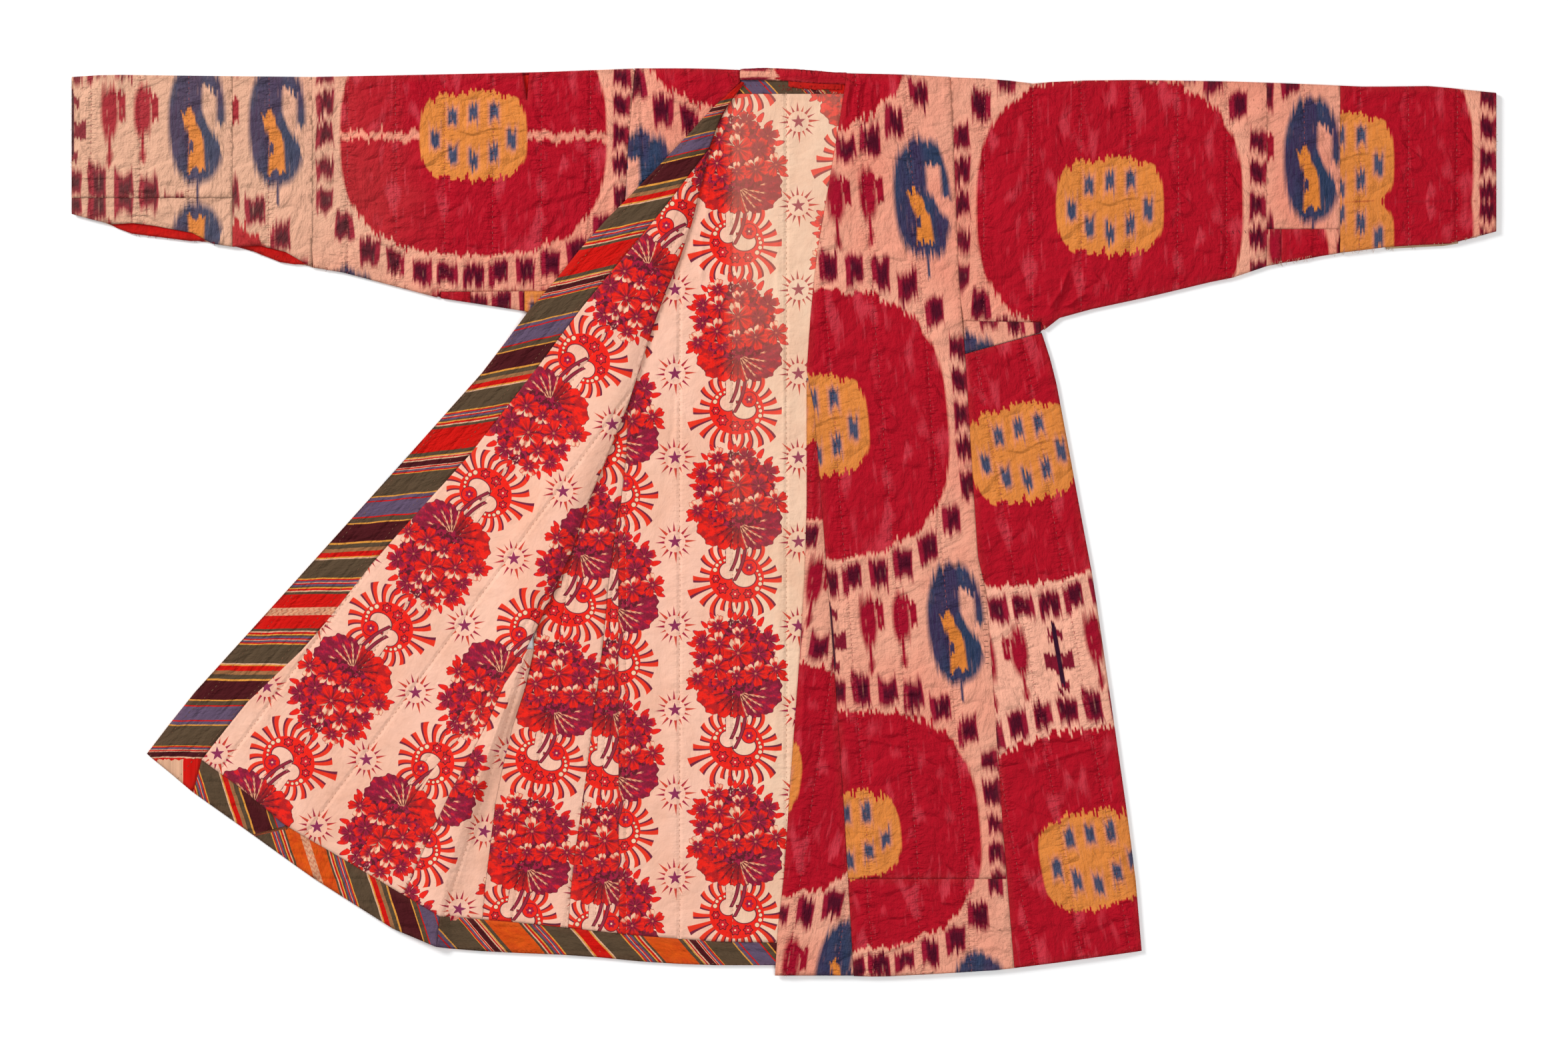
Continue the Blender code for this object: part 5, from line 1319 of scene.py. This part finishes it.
def finish_tree(tree, geometry, material, result):
    """Every tree ends in real, dyed threads."""
    real = add_node(tree, "GeometryNodeRealizeInstances", Geometry=geometry)
    dyed = add_node(tree, "GeometryNodeSetMaterial", Geometry=real.outputs["Geometry"],
                    Material=material)
    feed(tree, dyed.outputs["Geometry"], result.inputs["Sewn"])
    return tree


def running_stitch_tree():
    """Stitches along lines: a thread that shows, then dives under."""
    tree, given, result = new_group(
        "running_stitches",
        {"Lines": "Geometry", "Spacing": "Float", "Stitch length": "Float",
         "Thread radius": "Float", "Seed": "Int", "Thread finish": "Material"},
        {"Sewn": "Geometry"}, "GeometryNodeTree",
    )
    curve = add_node(tree, "GeometryNodeMeshToCurve", Mesh=given["Lines"])
    even = tree.nodes.new("GeometryNodeResampleCurve")
    even.mode = "LENGTH"
    fill(tree, even, Curve=curve.outputs["Curve"], Length=given["Spacing"])
    stitch = add_node(tree, "GeometryNodeMeshUVSphere", Segments=5, Rings=4, Radius=0.5)
    thick = Reading(tree, given["Thread radius"]) * 2.0
    shape = place(tree, thick, thick, given["Stitch length"])
    form = add_node(tree, "GeometryNodeTransform", Geometry=stitch.outputs["Mesh"],
                    Scale=shape)
    along = tree.nodes.new("GeometryNodeInputTangent")
    turn = add_node(tree, "FunctionNodeAlignRotationToVector", Vector=along.outputs[0])
    turn.axis = "Z"
    uneven = add_node(tree, "FunctionNodeRandomValue", Seed=given["Seed"])
    uneven.data_type = "FLOAT"
    uneven.inputs[2].default_value = 0.7
    uneven.inputs[3].default_value = 1.25
    sewn = add_node(tree, "GeometryNodeInstanceOnPoints", Points=even.outputs["Curve"],
                    Instance=form.outputs["Geometry"], Rotation=turn.outputs[0],
                    Scale=uneven.outputs[1])
    return finish_tree(tree, sewn.outputs["Instances"], given["Thread finish"], result)


def thread_tree():
    """Lines made into round threads."""
    tree, given, result = new_group(
        "loose_threads",
        {"Lines": "Geometry", "Thread radius": "Float", "Thread finish": "Material"},
        {"Sewn": "Geometry"}, "GeometryNodeTree",
    )
    curve = add_node(tree, "GeometryNodeMeshToCurve", Mesh=given["Lines"])
    ring = add_node(tree, "GeometryNodeCurvePrimitiveCircle", Resolution=4,
                    Radius=given["Thread radius"])
    spun = add_node(tree, "GeometryNodeCurveToMesh", Fill_Caps=True,
                    Curve=curve.outputs["Curve"], Profile_Curve=ring.outputs["Curve"])
    return finish_tree(tree, spun.outputs["Mesh"], given["Thread finish"], result)


def sew(name, lines, tree, values):
    """Threads along lines (lists of points in metres), as one plain mesh."""
    points = [point for line in lines for point in line]
    edges, start = [], 0
    for line in lines:
        edges += [(start + i, start + i + 1) for i in range(len(line) - 1)]
        start += len(line)
    mesh = bpy.data.meshes.new(f"{name}_lines")
    mesh.from_pydata(points, edges, [])
    threads = put(name, mesh)
    sewing = threads.modifiers.new("sewing", "NODES")
    sewing.node_group = tree
    for item in tree.interface.items_tree:
        if item.name in values:
            sewing[item.identifier] = values[item.name]
    shown = threads.evaluated_get(bpy.context.evaluated_depsgraph_get())
    threads.data = bpy.data.meshes.new_from_object(shown)
    threads.modifiers.remove(sewing)
    return threads


def thread_finish(name, color, darker):
    """Spun cotton thread: twisted, and a little uneven in its dye."""
    made, tree, shader = new_material(name)
    where = object_axes(tree)
    uneven = cloudy(tree, where, 120.0, 3.0, 0.6)
    dyed = shaded(tree, (uneven - 0.5).soft(0.5), color, darker)
    raise_surface(tree, shader, cloudy(tree, where, 1800.0, 1.0), 0.2 * MM, 0.6)
    fill(tree, shader, Base_Color=dyed, Roughness=0.75, Specular_IOR_Level=0.1)
    return made


def top_surface(pieces):
    """All the pieces as one surface for finding what lies on top, and whose face is whose."""
    points, faces, owners = [], [], []
    for name, piece in pieces.items():
        start = len(points)
        points += [vertex.co for vertex in piece.data.vertices]
        for face in piece.data.polygons:
            faces.append([start + i for i in face.vertices])
            owners.append(name)
    return BVHTree.FromPolygons(points, faces), owners


def on_top(surface, owners, across, down):
    """The point of the robe's top there, and whose it is."""
    hit, _, face, _ = surface.ray_cast(
        Vector((across * CM, (HALF_LENGTH - down) * CM, 0.1)), Vector((0.0, 0.0, -1.0))
    )
    return (hit, owners[face]) if hit else (None, None)


def quilting_lines(name, piece, surface, owners):
    """Lines along the warp on what shows of a piece."""
    start, every = QUILTED[PIECES[name][0]]
    across, down = robe_places(read_points(piece.data))
    u, _ = cloth_places(name, across, down)
    middle, top, tilt = PIECES[name][1:4]
    turn = radians(tilt)
    runs = (down - top) * cos(turn) + (across - middle) * sin(turn)
    lines = []
    for index in range(int(np.floor((u.min() - start) / every)) + 1,
                       int(np.ceil((u.max() - start) / every))):
        at = start + index * every
        line = []
        for run in np.arange(runs.min(), runs.max(), 0.35):
            sway = 0.12 * noise.noise((run / 7.0, at, 1.0))
            x = middle + (at + sway) * cos(turn) + run * sin(turn)
            y = top + run * cos(turn) - (at + sway) * sin(turn)
            hit, owner = on_top(surface, owners, x, y)
            if owner == name:
                line.append(hit + Vector((0.0, 0.0, STITCH_LIFT)))
            else:
                if len(line) > 3:
                    lines.append(line)
                line = []
        if len(line) > 3:
            lines.append(line)
    return lines


def row_line(corners, surface, owners):
    """A row of stitching through its corners, laid on the robe's top."""
    line = []
    for (x1, y1), (x2, y2) in zip(corners, corners[1:]):
        steps = max(2, int(hypot(x2 - x1, y2 - y1) / 0.4))
        for step in range(steps):
            x, y = between(x1, x2, step / steps), between(y1, y2, step / steps)
            hit, _ = on_top(surface, owners, x, y + 0.15 * sin(x * 0.9))
            if hit:
                line.append(hit + Vector((0.0, 0.0, STITCH_LIFT)))
    return line


def mend_lines(surface, owners):
    """Short slanting threads over mended seams."""
    lines = []
    chance = Random(11)
    for (x1, y1), (x2, y2), count, half in MENDS:
        run = hypot(x2 - x1, y2 - y1)
        for index in range(count):
            share = (index + 0.5) / count
            x = between(x1, x2, share) + chance.uniform(-0.05, 0.05)
            y = between(y1, y2, share) + chance.uniform(-0.05, 0.05)
            along_x, along_y = (x2 - x1) / run, (y2 - y1) / run
            line = []
            for side in (-1.0, -0.4, 0.4, 1.0):
                reach = side * half * chance.uniform(0.85, 1.15)
                px, py = x - along_y * reach + along_x * reach * 0.5, y + along_x * reach
                hit, _ = on_top(surface, owners, px, py)
                if hit:
                    lift = 0.25 if abs(side) < 0.5 else -0.05
                    line.append(hit + Vector((0.0, 0.0, lift * MM)))
            if len(line) > 2:
                lines.append(line)
    return lines


def fray_lines(entry, surface, owners):
    """Loose threads that curl out over an edge."""
    _, (x1, y1), (x2, y2), count, length, points_to = entry
    chance = Random(int(1000 + x1 * 7 + y1))
    lines = []
    for _ in range(count):
        share = chance.random()
        x, y = between(x1, x2, share), between(y1, y2, share)
        hit, _ = on_top(surface, owners, x, y)
        if not hit:
            continue
        height = hit.z
        turn = radians(points_to + chance.uniform(-35.0, 35.0))
        bend = chance.uniform(-0.5, 0.5)
        long = length * chance.uniform(0.35, 1.0)
        line = []
        for _ in range(6):
            line.append(Vector((x * CM, (HALF_LENGTH - y) * CM, height + 0.25 * MM)))
            x += cos(turn) * long / 5.0
            y += sin(turn) * long / 5.0
            turn += bend
            hit, _ = on_top(surface, owners, x, y)
            height = max(hit.z if hit else 0.0, height - 0.8 * MM, 0.05 * MM)
        lines.append(line)
    return lines


def sew_robe(pieces):
    """Quilting stitches, rows on the facings, mends and frayed threads."""
    surface, owners = top_surface(pieces)
    running, loose = running_stitch_tree(), thread_tree()
    looks = {
        "crimson_quilting": (tint(198, 108, 104), tint(170, 70, 74), "ikat_crimson"),
        "lining_quilting": (tint(224, 178, 150), tint(196, 140, 112), "printed_cotton"),
        "facing_quilting": (tint(160, 116, 90), tint(120, 84, 66), "striped_cotton"),
    }
    for name, (color, darker, slot) in looks.items():
        lines = [
            line for panel in QUILTED_PIECES.get(name, ())
            for line in quilting_lines(panel, pieces[panel], surface, owners)
        ]
        if name == "facing_quilting":
            lines = [row_line(corners, surface, owners) for corners in FACING_ROWS]
        yield sew(name, lines, running, {
            "Spacing": 7.0 * MM, "Stitch length": 3.2 * MM, "Thread radius": 0.28 * MM,
            "Seed": 5, "Thread finish": thread_finish(f"{name}_thread", color, darker),
        }), slot
    dark = thread_finish("dark_mending_thread", tint(74, 36, 38), tint(40, 22, 26))
    yield sew("mending_stitches", mend_lines(surface, owners), loose,
              {"Thread radius": 0.3 * MM, "Thread finish": dark}), "ikat_crimson"
    for thread, color, darker, slot in (
        ("pale_thread", tint(226, 190, 160), tint(190, 150, 124), "pale_cotton"),
        ("red_thread", tint(176, 34, 34), tint(130, 24, 30), "red_cotton"),
    ):
        lines = [line for entry in FRAYED if entry[0] == thread
                 for line in fray_lines(entry, surface, owners)]
        finish = thread_finish(f"frayed_{thread}", color, darker)
        yield sew(f"frayed_{thread}s", lines, loose,
                  {"Thread radius": 0.16 * MM, "Thread finish": finish}), slot


# ---------------------------------------------------------------- the robe
# The panels cut from the pink part of the ikat's loom width.
PINK_PANELS = {
    "back", "back_left_gore", "back_right_gore", "right_front", "right_side_gore",
    "sleeve_left_gusset", "sleeve_left_patch_pink", "sleeve_left_strip",
    "sleeve_right_cuff", "sleeve_right_cuff_piece", "sleeve_right_strip",
}
SLOTS = {
    "print": "printed_cotton", "stripe": "striped_cotton", "faded_stripe": "striped_cotton",
    "red": "red_cotton", "pale": "pale_cotton", "ikat": "ikat_crimson",
    "ikat_mirrored": "ikat_crimson", "ikat_cuff": "ikat_crimson",
}


def flat_size(piece):
    """Width and length in metres of the smallest strip of cloth that a piece needs, over all
    the ways it can lie, and its own area. A tube's cloth goes all round it."""
    mesh = piece.data
    points = read_points(mesh)[:, :2]
    area = sum(face.area for face in mesh.polygons) / 2.0
    best = None
    for turn in range(0, 90, 3):
        c, s = cos(radians(turn)), sin(radians(turn))
        x = points[:, 0] * c + points[:, 1] * s
        y = points[:, 1] * c - points[:, 0] * s
        size = (np.ptp(x), np.ptp(y))
        size = size if turn < 45 else size[::-1]
        if best is None or size[0] * size[1] < best[0] * best[1]:
            best = size
    along, deep = float(best[0]), float(best[1])
    if area > along * deep:
        deep = deep * 2.0
    wide, long = max(min(along, deep), 0.0105), max(along, deep)
    return (wide, long), max(area, 0.31 * wide * long)


def main():
    set_stage()
    finishes = make_finishes()
    pieces = {}
    creases = crease_places()
    for name, (cloth, *_) in PIECES.items():
        piece = make_cloth(name, finishes, creases)
        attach(piece, "root")
        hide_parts(name)
        "ikat_pink" if name in PINK_PANELS else SLOTS[cloth]
        size, area = flat_size(piece)
        min(area, 0.99 * size[0] * size[1])
        pieces[name] = piece
    for threads, slot in sew_robe(pieces):
        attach(threads, "root")


main()
